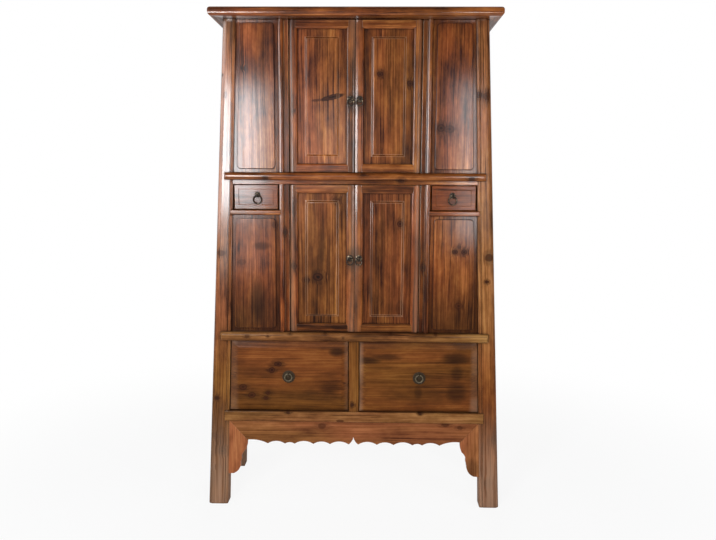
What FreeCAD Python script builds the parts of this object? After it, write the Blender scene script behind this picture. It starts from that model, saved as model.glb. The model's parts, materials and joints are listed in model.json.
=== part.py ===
import FreeCAD, Part
import math
import os
from types import SimpleNamespace

import Sketcher

# A free-standing wedding cabinet of fir: four tapered posts that lean inwards under a mitred cap,
# two tiers of pivot doors between fixed panels, two small and two large drawers, and a scalloped apron.
# X runs to the right, Y to the back and Z up. The origin is on the floor under the middle of the cap.
# Inside the pieces, depth is measured backwards from the front faces of the posts.

SIZES = {
    # Case as a whole
    "case_depth": 460,
    "front_overhang": 60,
    "back_overhang": 30,
    "clearance": 2.5,
    # Cap: a mitred frame with a tongued panel and a brace
    "cap_low": 1966,
    "cap_top": 2000,
    "cap_half": 559,
    "cap_member": 130,
    "cap_round": 13,
    "cap_panel_thick": 14,
    "brace_half": 22,
    # Posts: distances from the middle line at the floor and under the cap
    "foot_outer": 607,
    "foot_inner": 526,
    "top_outer": 514,
    "top_inner": 463,
    "post_depth": 62,
    "post_round": 18,
    "post_line_in": 11,
    "post_line_wide": 3,
    "post_line_deep": 2,
    # Front rails
    "mid_low": 1334,
    "mid_nose_low": 1350,
    "mid_top": 1379,
    "mid_half": 516,
    "lower_low": 702,
    "lower_top": 737.5,
    "lower_half": 542,
    "bottom_low": 362,
    "bottom_top": 405,
    "bottom_half": 533,
    "rail_depth": 45,
    "nose_out": 18,
    "nose_round": 13,
    "flat_nose_out": 5,
    "flat_nose_round": 4,
    # Tenons, tongues and grooves
    "tenon_long": 24,
    "tenon_short": 12,
    "tenon_thick": 18,
    "tenon_inset": 7,
    "tenon_front": 14,
    "tenon_back": 22,
    "small_tenon_inset": 5,
    "back_tenon_front": 424,
    "groove_deep": 8,
    "groove_shy": 1,
    "tongue_long": 7,
    "tongue_thick": 8,
    # Mullions: a round bead on the side of the fixed panel, a sunk flat on the side of the door
    "mullion_inner": 261,
    "mullion_step": 280,
    "mullion_outer": 301,
    "mullion_sink": 14,
    "bead_round": 9,
    # Fixed front panels
    "fixed_front": 5,
    "fixed_back": 12,
    "fixed_margin": 15,
    "fixed_corner": 14,
    # Doors
    "door_edge": 259,
    "door_gap": 1,
    "door_front": 6,
    "door_thick": 28,
    "stile_wide": 33,
    "stile_moulding": 8,
    "moulding_round": 7,
    "panel_groove": 16,
    "field_margin": 30,
    "field_bevel": 7,
    "field_front": 10,
    "door_tenon_tall": 14,
    "hinge_flat": 0.2,
    "pin_radius": 8,
    "socket_radius": 8.05,
    "pin_low_long": 12,
    "pin_high_long": 16,
    "socket_spare": 0.5,
    # Small drawers and their rail
    "drawer_rail_low": 1212,
    "drawer_rail_top": 1231,
    "small_inner": 305,
    "small_outer": 479,
    "small_front": 5,
    "small_thick": 20,
    "small_line_in": 17,
    "small_line_wide": 2,
    "small_line_deep": 1.2,
    "small_nose_lap": 8,
    "drawer_edge": 2,
    "dust_thick": 12,
    "dust_front": 28,
    # Large drawers
    "divider_half": 20.5,
    "large_front": 4,
    "large_thick": 22,
    "large_bevel": 29,
    "large_bevel_deep": 6,
    # Drawer boxes
    "box_side": 12,
    "box_bottom": 8,
    "box_inset": 7,
    "box_lift": 1,
    "box_back": 378,
    "small_box_top": 1322,
    "large_box_top": 670,
    # Apron and spandrels
    "apron_front": 4,
    "apron_thick": 18,
    "scallop_low": 264,
    "scallop_steep": 0.155,
    "notch_half": 20,
    "notch_top": 296,
    "notch_curve": 4,
    "mitre_half": 440,
    "mitre_low": 279,
    # Apron: distances of its downward points from the middle, between the notch and the mitre
    "first_point": 97,
    "second_point": 166,
    "third_point": 244,
    "fourth_point": 284,
    "fifth_point": 355,
    # Spandrel: the points of its scrolled edge from the mitre down, with the bulge of each stretch
    "spandrel_low": 131,
    "first_scroll_in": 448,
    "first_scroll_up": 236,
    "first_scroll_bulge": 3,
    "second_scroll_in": 465,
    "second_scroll_up": 208,
    "second_scroll_bulge": -3,
    "third_scroll_in": 470,
    "third_scroll_up": 184,
    "third_scroll_bulge": 3,
    "last_scroll_in": 500,
    "last_scroll_up": 132,
    "last_scroll_bulge": 11,
    # Sides and back
    "side_rail_out": 4,
    "side_rail_in": 40,
    "side_panel_out": 10,
    "side_panel_in": 22,
    "side_tenon": 20,
    "top_rail_low": 1921,
    "back_rail_front": 415,
    "back_rail_back": 450,
    "back_panel_front": 428,
    "back_panel_back": 438,
    "back_ledge_low": 1190,
    # Inside boards
    "deck_thick": 14,
    "shelf_low": 1660,
    "shelf_front": 48,
    "batten_tall": 20,
    "batten_wide": 24,
    "runner_tall": 20,
    "runner_wide": 38,
    "guide_half": 18,
    "guide_tall": 25,
    # Pulls: plate, cotter pin and ring
    "plate_thick": 1.6,
    "plate_bevel": 1.2,
    "boss_out": 3.2,
    "boss_radius": 5.5,
    "eye_out": 9.8,
    "eye_bore": 3.2,
    "eye_outer": 6,
    "eye_half": 1.6,
    "shank_half": 1.6,
    "shank_play": 0.1,
    "prong_long": 11,
    "prong_thick": 1.4,
    "dome_out": 2.6,
    "dome_radius": 6,
    "door_plate": 13.5,
    "door_ring": 12.8,
    "door_wire": 2.2,
    "small_plate": 12,
    "small_plate_rise": 4,
    "small_ring": 16,
    "small_wire": 2.3,
    "large_plate": 26,
    "large_plate_drop": 14,
    "large_ring": 14.5,
    "large_wire": 2.6,
    "door_pull_in": 17.5,
    "upper_pull_up": 1664,
    "lower_pull_up": 1040,
    "small_pull_in": 386,
    "small_pull_up": 1288,
    "large_pull_in": 267,
    "large_pull_up": 564,
}

# Pulls: flats around a plate, a ring, and the eye and boss of the cotter pin
PLATE_SIDES = 16
RING_SIDES = 12
EYE_SIDES = 8
# The bevels of the ring's bar, as a share of its half width
WIRE_BEVEL = 0.7
# Two points or planes closer than this, in millimetres, are the same one
NEAR = 0.001

VIEWS = {
    # view: (origin plane, sign that turns a depth into an offset, pad reversed, pocket reversed)
    "front": ("XZ_Plane", -1, True, False),
    "plan": ("XY_Plane", 1, False, True),
    "side": ("YZ_Plane", 1, False, True),
}

doc = FreeCAD.newDocument("WeddingCabinet")
nodes = []


class Size:
    """A length that is known as a number and as the sheet expression behind it."""

    def __init__(self, value, text):
        self.value = value
        self.text = text

    def __add__(self, other):
        other = as_size(other)
        return Size(self.value + other.value, f"({self.text} + {other.text})")

    def __sub__(self, other):
        other = as_size(other)
        return Size(self.value - other.value, f"({self.text} - {other.text})")

    def __mul__(self, other):
        other = as_size(other)
        return Size(self.value * other.value, f"({self.text} * {other.text})")

    def __truediv__(self, other):
        other = as_size(other)
        return Size(self.value / other.value, f"({self.text} / {other.text})")

    def __radd__(self, other):
        return as_size(other) + self

    def __rsub__(self, other):
        return as_size(other) - self

    def __rmul__(self, other):
        return as_size(other) * self

    def __neg__(self):
        return Size(-self.value, f"(-1 * {self.text})")


def as_size(number):
    """A plain number as a Size; a Size stays what it is."""
    if isinstance(number, Size):
        return number
    return Size(float(number), f"({number})")


def write_sheet():
    """Put the driving dimensions into a spreadsheet and return them by name."""
    sheet = doc.addObject("Spreadsheet::Sheet", "Sizes")
    for row, (alias, value) in enumerate(SIZES.items(), start=1):
        sheet.set(f"A{row}", str(value))
        sheet.setAlias(f"A{row}", alias)
    doc.recompute()
    return SimpleNamespace(**{alias: Size(float(value), f"Sizes.{alias}") for alias, value in SIZES.items()})


d = write_sheet()
FRONT_Y = d.front_overhang - (d.front_overhang + d.case_depth + d.back_overhang) / 2
ORIGIN = (as_size(0), FRONT_Y, as_size(0))


def outer(height):
    """Distance of a post's outer face from the middle line at a height."""
    return d.foot_outer - (d.foot_outer - d.top_outer) * height / d.cap_low


def inner(height):
    """Distance of a post's inner face from the middle line at a height."""
    return d.foot_inner - (d.foot_inner - d.top_inner) * height / d.cap_low


def bind(thing, prop, value):
    """Tie a property of a document object to the sheet."""
    thing.setExpression(prop, as_size(value).text)


def vector(*sizes):
    """A vector of the numbers behind some sizes."""
    return FreeCAD.Vector(*(as_size(size).value for size in sizes))


def new_body(name, place=ORIGIN):
    """An empty body whose depth starts at the front faces of the posts, unless it has a place of its own."""
    body = doc.addObject("PartDesign::Body", name)
    body.Label = name
    for axis, value in zip("xyz", place):
        bind(body, f"Placement.Base.{axis}", value)
    return body


def origin_feature(body, role):
    """A body's own origin plane or axis."""
    return next(feature for feature in body.Origin.OriginFeatures if feature.Role == role)


def fix_point(sketch, segment, end, x, y):
    """Hold one point of a sketch at a place given by sizes."""
    for kind, value in (("DistanceX", x), ("DistanceY", y)):
        value = as_size(value)
        index = sketch.addConstraint(Sketcher.Constraint(kind, segment, end, value.value))
        bind(sketch, f"Constraints[{index}]", value)


def add_arc(sketch, start, finish, bulge):
    """An arc between two points that stands out to the left by the bulge; returns its two end numbers."""
    span_x = finish[0] - start[0]
    span_y = finish[1] - start[1]
    radius = ((span_x * span_x + span_y * span_y) / 4 + bulge * bulge) / (2 * bulge)
    chord = math.hypot(span_x.value, span_y.value)
    left = FreeCAD.Vector(-span_y.value / chord, span_x.value / chord, 0)
    middle = (vector(*start, 0) + vector(*finish, 0)) / 2
    centre = middle + left * (bulge.value - radius.value)
    circle = Part.Circle(centre, FreeCAD.Vector(0, 0, 1), abs(radius.value))
    turns = [math.atan2(point[1].value - centre.y, point[0].value - centre.x) for point in (start, finish)]
    ends = (1, 2)
    if bulge.value > 0:
        turns.reverse()
        ends = (2, 1)
    segment = sketch.addGeometry(Part.ArcOfCircle(circle, *turns), False)
    index = sketch.addConstraint(Sketcher.Constraint("Radius", segment, abs(radius.value)))
    bind(sketch, f"Constraints[{index}]", radius if bulge.value > 0 else -radius)
    return ends


def draw_outline(sketch, points):
    """A closed outline: (x, y) is reached by a line, (x, y, bulge) by an arc."""
    points = [tuple(as_size(value) for value in point) for point in points]
    first = sketch.GeometryCount
    ends = []
    for start, finish in zip(points, points[1:] + points[:1]):
        if len(finish) == 3:
            ends.append(add_arc(sketch, start[:2], finish[:2], finish[2]))
        else:
            line = Part.LineSegment(vector(*start[:2], 0), vector(*finish[:2], 0))
            sketch.addGeometry(line, False)
            ends.append((1, 2))
    count = len(points)
    for step in range(count):
        after = (step + 1) % count
        join = Sketcher.Constraint("Coincident", first + step, ends[step][1], first + after, ends[after][0])
        sketch.addConstraint(join)
    for step, point in enumerate(points):
        fix_point(sketch, first + step, ends[step][0], point[0], point[1])


def draw_circle(sketch, x, y, radius):
    """A circle held by its middle and radius."""
    radius = as_size(radius)
    middle = vector(x, y, 0)
    segment = sketch.addGeometry(Part.Circle(middle, FreeCAD.Vector(0, 0, 1), radius.value), False)
    index = sketch.addConstraint(Sketcher.Constraint("Radius", segment, radius.value))
    bind(sketch, f"Constraints[{index}]", radius)
    fix_point(sketch, segment, 3, x, y)


def new_sketch(body, view, depth, outlines=(), circles=()):
    """A sketch in one of the three views at a depth along that view."""
    sketch = body.newObject("Sketcher::SketchObject", f"{body.Label}_sketch")
    plane, sign = VIEWS[view][:2]
    sketch.AttachmentSupport = (origin_feature(body, plane), [""])
    sketch.MapMode = "FlatFace"
    bind(sketch, "AttachmentOffset.Base.z", sign * as_size(depth))
    for points in outlines:
        draw_outline(sketch, points)
    for circle in circles:
        draw_circle(sketch, *circle)
    return sketch


def pad(body, view, depth, length, outlines=(), circles=()):
    """Add the stretch from depth to depth + length along the view."""
    feature = body.newObject("PartDesign::Pad", f"{body.Label}_pad")
    feature.Profile = new_sketch(body, view, depth, outlines, circles)
    feature.Reversed = VIEWS[view][2]
    bind(feature, "Length", length)
    doc.recompute()


def cut(body, view, depth, length, outlines=(), circles=()):
    """Take away the stretch from depth to depth + length along the view."""
    before = body.Shape.Volume
    sketch = new_sketch(body, view, depth, outlines, circles)
    feature = body.newObject("PartDesign::Pocket", f"{body.Label}_pocket")
    feature.Profile = sketch
    feature.Reversed = VIEWS[view][3]
    bind(feature, "Length", length)
    doc.recompute()
    if body.Shape.Volume >= before:
        raise ValueError(f"a pocket of {body.Label} cuts nothing")


def loft(body, view, first, second):
    """Add a ruled loft between two (depth, outline) stations."""
    feature = body.newObject("PartDesign::AdditiveLoft", f"{body.Label}_loft")
    feature.Profile = new_sketch(body, view, first[0], [first[1]])
    feature.Sections = [new_sketch(body, view, second[0], [second[1]])]
    feature.Ruled = True
    doc.recompute()


def edge_name(shape, start, finish):
    """The name of the edge that runs between two points."""
    for number, edge in enumerate(shape.Edges, start=1):
        if len(edge.Vertexes) != 2:
            continue
        low, high = (vertex.Point for vertex in edge.Vertexes)
        for one, other in ((low, high), (high, low)):
            if one.distanceToPoint(start) < NEAR and other.distanceToPoint(finish) < NEAR:
                return f"Edge{number}"
    raise ValueError(f"no edge from {start} to {finish}")


def round_edges(body, radius, *edges):
    """Fillet the edges that run between the given pairs of points."""
    base = body.Tip
    names = [edge_name(base.Shape, vector(*start), vector(*finish)) for start, finish in edges]
    feature = body.newObject("PartDesign::Fillet", f"{body.Label}_fillet")
    feature.Base = (base, names)
    bind(feature, "Radius", radius)
    doc.recompute()


def face_edges(shape, depth):
    """The names of the edges that lie in the upright plane at a depth."""
    names = []
    for number, edge in enumerate(shape.Edges, start=1):
        box = edge.BoundBox
        if abs(box.YMin - depth) < NEAR and abs(box.YMax - depth) < NEAR:
            names.append(f"Edge{number}")
    return names


def bevel_face(body, depth, width):
    """Chamfer all edges around the upright face at a depth."""
    base = body.Tip
    feature = body.newObject("PartDesign::Chamfer", f"{body.Label}_chamfer")
    feature.Base = (base, face_edges(base.Shape, as_size(depth).value))
    bind(feature, "Size", width)
    doc.recompute()


def rectangle(x_low, x_high, y_low, y_high):
    """The four corners of an upright rectangle."""
    return [(x_low, y_low), (x_high, y_low), (x_high, y_high), (x_low, y_high)]


def polygon(inside, sides, x=0, y=0):
    """A regular polygon around a point, by the distance of its flats; one flat is on top."""
    half_turn = math.pi / sides
    corner = inside / math.cos(half_turn)
    turns = [half_turn * (2 * step + 1) for step in range(sides)]
    return [(x + corner * math.cos(angle), y + corner * math.sin(angle)) for angle in turns]


def slanted(line, near, far, low, high):
    """A left-hand strip that follows a post's leaning line, between two distances from it."""
    return [
        (near - line(low), low),
        (far - line(low), low),
        (far - line(high), high),
        (near - line(high), high),
    ]


def between_posts(low, high, beyond=0):
    """The outline between the inner faces of two posts, reaching beyond them on both sides."""
    return [
        (-(inner(low) + beyond), low),
        (inner(low) + beyond, low),
        (inner(high) + beyond, high),
        (-(inner(high) + beyond), high),
    ]


def board(name, x_range, y_range, z_range):
    """A plain sawn board between two limits along each axis."""
    box = doc.addObject("Part::Box", name)
    box.Label = name
    spans = (x_range, y_range, z_range)
    for prop, axis, (low, high), offset in zip(("Length", "Width", "Height"), "xyz", spans, ORIGIN):
        bind(box, prop, as_size(high) - low)
        bind(box, f"Placement.Base.{axis}", offset + low)
    return box


def cross_board(name, wide, narrow, y_range, z_range):
    """A board that reaches out between the posts at the sides and in front and behind them."""
    long_part = board(f"{name}_long", wide, (d.post_depth, d.case_depth - d.post_depth), z_range)
    deep_part = board(f"{name}_deep", narrow, y_range, z_range)
    whole = doc.addObject("Part::Fuse", name)
    whole.Label = name
    whole.Base = long_part
    whole.Tool = deep_part
    whole.Refine = True
    return whole


def mirrored(thing, name):
    """The right-hand twin of a left-hand piece."""
    twin = doc.addObject("Part::Mirroring", name)
    twin.Label = name
    twin.Source = thing
    twin.Normal = FreeCAD.Vector(1, 0, 0)
    twin.Base = FreeCAD.Vector(0, 0, 0)
    return twin


def group(name, things):
    """Several separate solids under one name."""
    whole = doc.addObject("Part::Compound", name)
    whole.Label = name
    whole.Links = things
    return whole


def keep(thing):
    """Hand a finished piece in as a node."""
    nodes.append(thing)
    return thing


def keep_pair(name, left_things):
    """Hand in left-hand pieces and their twins as one node."""
    twins = [mirrored(thing, f"{thing.Label}_twin") for thing in left_things]
    keep(group(name, list(left_things) + twins))


def both_sides(places):
    """The same circles or places on the left and on the right."""
    return [(-x, *rest) for x, *rest in places] + [(x, *rest) for x, *rest in places]


# Levels of the horizontal members on all four sides, low edge and top edge
TOP_LEVEL = (d.top_rail_low, d.cap_low)
MID_LEVEL = (d.mid_low, d.mid_top)
LOWER_LEVEL = (d.lower_low, d.lower_top)
BOTTOM_LEVEL = (d.bottom_low, d.bottom_top)
RAIL_LEVELS = (TOP_LEVEL, MID_LEVEL, LOWER_LEVEL, BOTTOM_LEVEL)
DRAWER_RAIL = (d.drawer_rail_low, d.drawer_rail_top)
BACK_LEDGE = (d.back_ledge_low, d.drawer_rail_top)

# Places that several pieces share
PIVOT_X = d.door_edge - d.door_thick / 2
PIVOT_Y = d.door_front + d.door_thick / 2
CAP_INNER = d.cap_half - d.cap_member
CAP_FRONT = -d.front_overhang
CAP_BACK = d.case_depth + d.back_overhang
CAP_PANEL_LOW = d.cap_top - d.cap_panel_thick
BACK_POST = d.case_depth - d.post_depth
BETWEEN_POSTS_DEEP = BACK_POST - d.post_depth
SOCKETS = both_sides([(PIVOT_X, PIVOT_Y, d.socket_radius)])


def rail_tenon(low, high, inset=d.tenon_inset):
    """The through part of a rail, whose ends are tenons in both posts."""
    half = inner(low) + d.tenon_long
    return rectangle(-half, half, low + inset, high - inset)


def post_mortise(low, high, inset=d.tenon_inset):
    """The slot in a left post for a rail's tenon."""
    return rectangle(-inner(low) - d.tenon_long, d.tenon_inset - inner(low), low + inset, high - inset)


def side_tenon(low, high):
    """A left side rail's tenon, seen from the front."""
    near = d.side_panel_out - outer(high)
    return rectangle(near, near + d.tenon_thick, low + d.tenon_inset, high - d.tenon_inset)


def mullion_tenon(sign):
    """The tenon of a mullion in plan, left with sign -1 and right with sign 1."""
    groove_wall = d.groove_deep + d.groove_shy
    ends = (sign * (d.mullion_inner + d.tenon_inset), sign * (d.mullion_outer - groove_wall))
    return rectangle(*ends, d.tenon_back, d.rail_depth - d.tenon_inset)


def divider_tenon():
    """The tenon of the large drawer divider in plan."""
    half = d.divider_half - d.tenon_inset
    return rectangle(-half, half, d.tenon_back, d.rail_depth - d.tenon_inset)


MULLION_TENONS = [mullion_tenon(-1), mullion_tenon(1)]


def front_post_tenon():
    """The tenon on a left front post, in plan; it stands in the end member of the cap."""
    return rectangle(
        d.tenon_inset * 2 - d.top_outer,
        -d.top_inner - d.tenon_inset,
        d.post_depth - d.tenon_long,
        d.post_depth - d.tenon_inset,
    )


def back_post_tenon():
    """The tenon on a left back post, in plan; it stands in the back member of the cap."""
    return rectangle(
        d.tenon_inset * 2 - d.top_outer,
        -d.top_inner - d.tenon_inset,
        d.case_depth - d.tenon_long,
        d.case_depth - d.tenon_inset,
    )


def leaning_post(name, front, corner):
    """A left post: wide at the foot, leaning inwards, its outer corner at the given depth rounded."""
    body = new_body(name)
    face = [
        (-outer(0), 0),
        (-inner(0), 0),
        (-inner(d.cap_low), d.cap_low),
        (-outer(d.cap_low), d.cap_low),
    ]
    pad(body, "front", front, d.post_depth, [face])
    round_edges(body, d.post_round, ((-outer(0), corner, 0), (-outer(d.cap_low), corner, d.cap_low)))
    return body


def cut_side_joints(body, tenons_at, groove_at):
    """Mortises and one long groove for the rails and panels of the left side."""
    cut(body, "front", tenons_at, d.side_tenon, [side_tenon(*level) for level in RAIL_LEVELS])
    groove = slanted(outer, d.side_panel_out, d.side_panel_in, d.bottom_top, d.cap_low)
    cut(body, "front", groove_at, d.groove_deep, [groove])


def make_front_post():
    """The left front post, with its incised line and the slots for rails and fixed panels."""
    body = leaning_post("front_left_post", 0, 0)
    line = slanted(inner, -d.post_line_in - d.post_line_wide, -d.post_line_in, 0, d.cap_low)
    cut(body, "front", 0, d.post_line_deep, [line])
    pad(body, "plan", d.cap_low, d.tenon_long, [front_post_tenon()])
    cut_side_joints(body, d.post_depth - d.side_tenon, d.post_depth - d.groove_deep)
    mortises = [post_mortise(*level) for level in (MID_LEVEL, LOWER_LEVEL, BOTTOM_LEVEL)]
    mortises.append(post_mortise(*DRAWER_RAIL, d.small_tenon_inset))
    cut(body, "front", d.tenon_front, d.tenon_thick, mortises)
    groove = slanted(inner, -d.groove_deep, d.tongue_long, d.lower_top, d.cap_low)
    cut(body, "front", d.fixed_back, d.tongue_thick, [groove])
    return body


def make_back_post():
    """The left back post, with the slots for side rails, back rails and back panels."""
    body = leaning_post("back_left_post", BACK_POST, d.case_depth)
    pad(body, "plan", d.cap_low, d.tenon_long, [back_post_tenon()])
    cut_side_joints(body, BACK_POST, BACK_POST)
    mortises = [post_mortise(*level) for level in (*RAIL_LEVELS, BACK_LEDGE)]
    cut(body, "front", d.back_tenon_front, d.tenon_thick, mortises)
    groove = slanted(inner, -d.groove_deep, d.tongue_long, d.bottom_top, d.cap_low)
    cut(body, "front", d.back_panel_front, d.back_panel_back - d.back_panel_front, [groove])
    return body


def make_posts():
    """Four posts: two made, two mirrored."""
    for make, twin in ((make_front_post, "front_right_post"), (make_back_post, "back_right_post")):
        left = keep(make())
        keep(mirrored(left, twin))


def cap_long_member(name, edge, inwards):
    """A mitred cap member along X, with a rounded outer edge and a groove for the cap panel."""
    body = new_body(name)
    inside = edge + inwards * d.cap_member
    groove_end = inside - inwards * d.groove_deep
    plan = [(-d.cap_half, edge), (d.cap_half, edge), (CAP_INNER, inside), (-CAP_INNER, inside)]
    pad(body, "plan", d.cap_low, d.cap_top - d.cap_low, [plan])
    ends = [((-d.cap_half, edge, level), (d.cap_half, edge, level)) for level in (d.cap_low, d.cap_top)]
    round_edges(body, d.cap_round, *ends)
    reach = CAP_INNER + d.groove_deep
    groove = [(-reach, groove_end), (reach, groove_end), (CAP_INNER, inside), (-CAP_INNER, inside)]
    cut(body, "plan", CAP_PANEL_LOW, d.tongue_thick, [groove])
    return body


def cap_end_member():
    """The left cap member, mitred at both ends, with the mortise of the front post."""
    body = new_body("cap_left_member")
    outside = -d.cap_half
    inside = -CAP_INNER
    groove_end = inside - d.groove_deep
    low = CAP_FRONT + d.cap_member
    high = CAP_BACK - d.cap_member
    plan = [(outside, CAP_FRONT), (inside, low), (inside, high), (outside, CAP_BACK)]
    pad(body, "plan", d.cap_low, d.cap_top - d.cap_low, [plan])
    ends = [((outside, CAP_FRONT, level), (outside, CAP_BACK, level)) for level in (d.cap_low, d.cap_top)]
    round_edges(body, d.cap_round, *ends)
    groove = [
        (groove_end, low - d.groove_deep),
        (inside, low),
        (inside, high),
        (groove_end, high + d.groove_deep),
    ]
    cut(body, "plan", CAP_PANEL_LOW, d.tongue_thick, [groove])
    cut(body, "plan", d.cap_low, d.tenon_long, [front_post_tenon()])
    return body


def make_cap():
    """The cap: four mitred members, and a tongued panel that lies on a brace."""
    front = cap_long_member("cap_front_rail", CAP_FRONT, 1)
    cut(front, "plan", d.cap_low, d.tenon_short, MULLION_TENONS)
    cut(front, "plan", d.cap_low, d.pin_high_long + d.socket_spare, circles=SOCKETS)
    keep(front)
    back = cap_long_member("cap_back_rail", CAP_BACK, -1)
    left_mortise = back_post_tenon()
    right_mortise = [(-x, y) for x, y in left_mortise]
    cut(back, "plan", d.cap_low, d.tenon_long, [left_mortise, right_mortise])
    keep(back)
    keep_pair("cap_end_rails", [cap_end_member()])

    inside_front = CAP_FRONT + d.cap_member
    inside_back = CAP_BACK - d.cap_member
    tongue = CAP_INNER + d.tongue_long
    field = new_body("cap_field")
    tongued = rectangle(-tongue, tongue, inside_front - d.tongue_long, inside_back + d.tongue_long)
    pad(field, "plan", CAP_PANEL_LOW, d.tongue_thick, [tongued])
    plain = rectangle(-CAP_INNER, CAP_INNER, inside_front, inside_back)
    pad(field, "plan", CAP_PANEL_LOW, d.cap_panel_thick, [plain])
    brace = board(
        "cap_brace", (-d.brace_half, d.brace_half), (inside_front, inside_back), (d.cap_low, CAP_PANEL_LOW)
    )
    keep(group("cap_panel", [field, brace]))


def nosed_rail(name, level, nose_low, half, out, radius):
    """A front rail between the posts, with tenons and a rounded nose that laps over the posts."""
    low, top = level
    body = new_body(name)
    pad(body, "front", 0, d.rail_depth, [between_posts(low, top)])
    pad(body, "front", d.tenon_front, d.tenon_thick, [rail_tenon(low, top)])
    pad(body, "front", -out, out, [rectangle(-half, half, nose_low, top)])
    round_nose(body, (-half, half), -out, (nose_low, top), radius)
    return body


def round_nose(body, x_range, depth, z_range, radius):
    """Round all four front edges of a nose."""
    left, right = x_range
    low, top = z_range
    corners = [(left, depth, low), (right, depth, low), (right, depth, top), (left, depth, top)]
    round_edges(body, radius, *zip(corners, corners[1:] + corners[:1]))


def make_rails():
    """Mid, lower and bottom rail, with door sockets and the mortises of mullions and divider."""
    mid = nosed_rail("mid_rail", MID_LEVEL, d.mid_nose_low, d.mid_half, d.nose_out, d.nose_round)
    low_socket = d.pin_low_long + d.socket_spare
    cut(mid, "plan", d.mid_top - low_socket, low_socket, circles=SOCKETS)
    cut(mid, "plan", d.mid_low, d.pin_high_long + d.socket_spare, circles=SOCKETS)
    cut(mid, "plan", d.mid_top - d.tenon_short, d.tenon_short, MULLION_TENONS)
    cut(mid, "plan", d.mid_low, d.tenon_short, MULLION_TENONS)
    keep(mid)

    lower = nosed_rail("lower_rail", LOWER_LEVEL, d.lower_low, d.lower_half, d.nose_out, d.nose_round)
    cut(lower, "plan", d.lower_top - low_socket, low_socket, circles=SOCKETS)
    cut(lower, "plan", d.lower_top - d.tenon_short, d.tenon_short, MULLION_TENONS)
    cut(lower, "plan", d.lower_low, d.tenon_short, [divider_tenon()])
    keep(lower)

    bottom = nosed_rail(
        "bottom_rail", BOTTOM_LEVEL, d.bottom_low, d.bottom_half, d.flat_nose_out, d.flat_nose_round
    )
    cut(bottom, "plan", d.bottom_top - d.tenon_short, d.tenon_short, [divider_tenon()])
    keep(bottom)


def mullion(name, low, high):
    """A left mullion: round bead beside the fixed panel, sunk flat beside the door, tenons at the ends."""
    body = new_body(name)
    plan = [
        (-d.mullion_outer, d.rail_depth),
        (-d.mullion_outer, 0),
        (-d.mullion_step, 0),
        (-d.mullion_step, d.mullion_sink),
        (-d.mullion_inner, d.mullion_sink),
        (-d.mullion_inner, d.rail_depth),
    ]
    pad(body, "plan", low, high - low, [plan])
    beads = [((-x, 0, low), (-x, 0, high)) for x in (d.mullion_outer, d.mullion_step)]
    round_edges(body, d.bead_round, *beads)
    groove = rectangle(
        -d.mullion_outer, d.groove_deep - d.mullion_outer, d.fixed_back, d.fixed_back + d.tongue_thick
    )
    cut(body, "plan", low, high - low, [groove])
    pad(body, "plan", low - d.tenon_short, high - low + 2 * d.tenon_short, [mullion_tenon(-1)])
    return body


def make_mullions():
    """Two mullions in each tier; the lower ones also carry the small drawer rails."""
    upper = mullion("upper_left_mullion", d.mid_top, d.cap_low)
    lower = mullion("lower_left_mullion", d.lower_top, d.mid_low)
    slot = rectangle(
        -d.mullion_outer,
        d.tenon_short - d.mullion_outer,
        d.drawer_rail_low + d.small_tenon_inset,
        d.drawer_rail_top - d.small_tenon_inset,
    )
    cut(lower, "front", d.tenon_front, d.tenon_thick, [slot])
    keep_pair("mullions", [upper, lower])


def make_small_drawer_rails():
    """The rails under the small drawers, from post to mullion, with a flat nose over both."""
    low, top = DRAWER_RAIL
    body = new_body("small_drawer_left_rail")
    face = [(-inner(low), low), (-d.mullion_outer, low), (-d.mullion_outer, top), (-inner(top), top)]
    pad(body, "front", 0, d.rail_depth, [face])
    ends = (-inner(low) - d.tenon_long, d.tenon_short - d.mullion_outer)
    tenon = rectangle(*ends, low + d.small_tenon_inset, top - d.small_tenon_inset)
    pad(body, "front", d.tenon_front, d.tenon_thick, [tenon])
    nose = (-inner(low) - d.small_nose_lap, d.small_nose_lap - d.mullion_outer)
    pad(body, "front", -d.flat_nose_out, d.flat_nose_out, [rectangle(*nose, low, top)])
    round_nose(body, nose, -d.flat_nose_out, DRAWER_RAIL, d.flat_nose_round)
    keep_pair("small_drawer_rails", [body])


def make_divider():
    """The upright between the large drawers."""
    body = new_body("large_drawer_divider")
    half = d.divider_half
    low, high = d.bottom_top, d.lower_low
    pad(body, "front", 0, d.rail_depth, [rectangle(-half, half, low, high)])
    edges = [((x, 0, low), (x, 0, high)) for x in (-half, half)]
    round_edges(body, d.flat_nose_round, *edges)
    pad(body, "plan", low - d.tenon_short, high - low + 2 * d.tenon_short, [divider_tenon()])
    keep(body)


def fixed_panel(name, low, high):
    """A left fixed panel: thin tongued board with a raised field that has round corners."""
    body = new_body(name)
    inside = -d.mullion_outer
    tongued = [
        (-inner(low) - d.tongue_long, low),
        (inside + d.tongue_long, low),
        (inside + d.tongue_long, high),
        (-inner(high) - d.tongue_long, high),
    ]
    pad(body, "front", d.fixed_back, d.tongue_thick, [tongued])
    field_low = low + d.fixed_margin
    field_high = high - d.fixed_margin
    field = [
        (d.fixed_margin - inner(field_low), field_low),
        (inside - d.fixed_margin, field_low),
        (inside - d.fixed_margin, field_high),
        (d.fixed_margin - inner(field_high), field_high),
    ]
    pad(body, "front", d.fixed_front, d.fixed_back - d.fixed_front, [field])
    corners = [((x, d.fixed_front, z), (x, d.fixed_back, z)) for x, z in field]
    round_edges(body, d.fixed_corner, *corners)
    return body


def make_fixed_panels():
    """The fixed panels beside the doors."""
    keep_pair("upper_fixed_panels", [fixed_panel("upper_left_panel", d.mid_top, d.cap_low)])
    keep_pair("lower_fixed_panels", [fixed_panel("lower_left_panel", d.lower_top, d.drawer_rail_low)])


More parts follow.
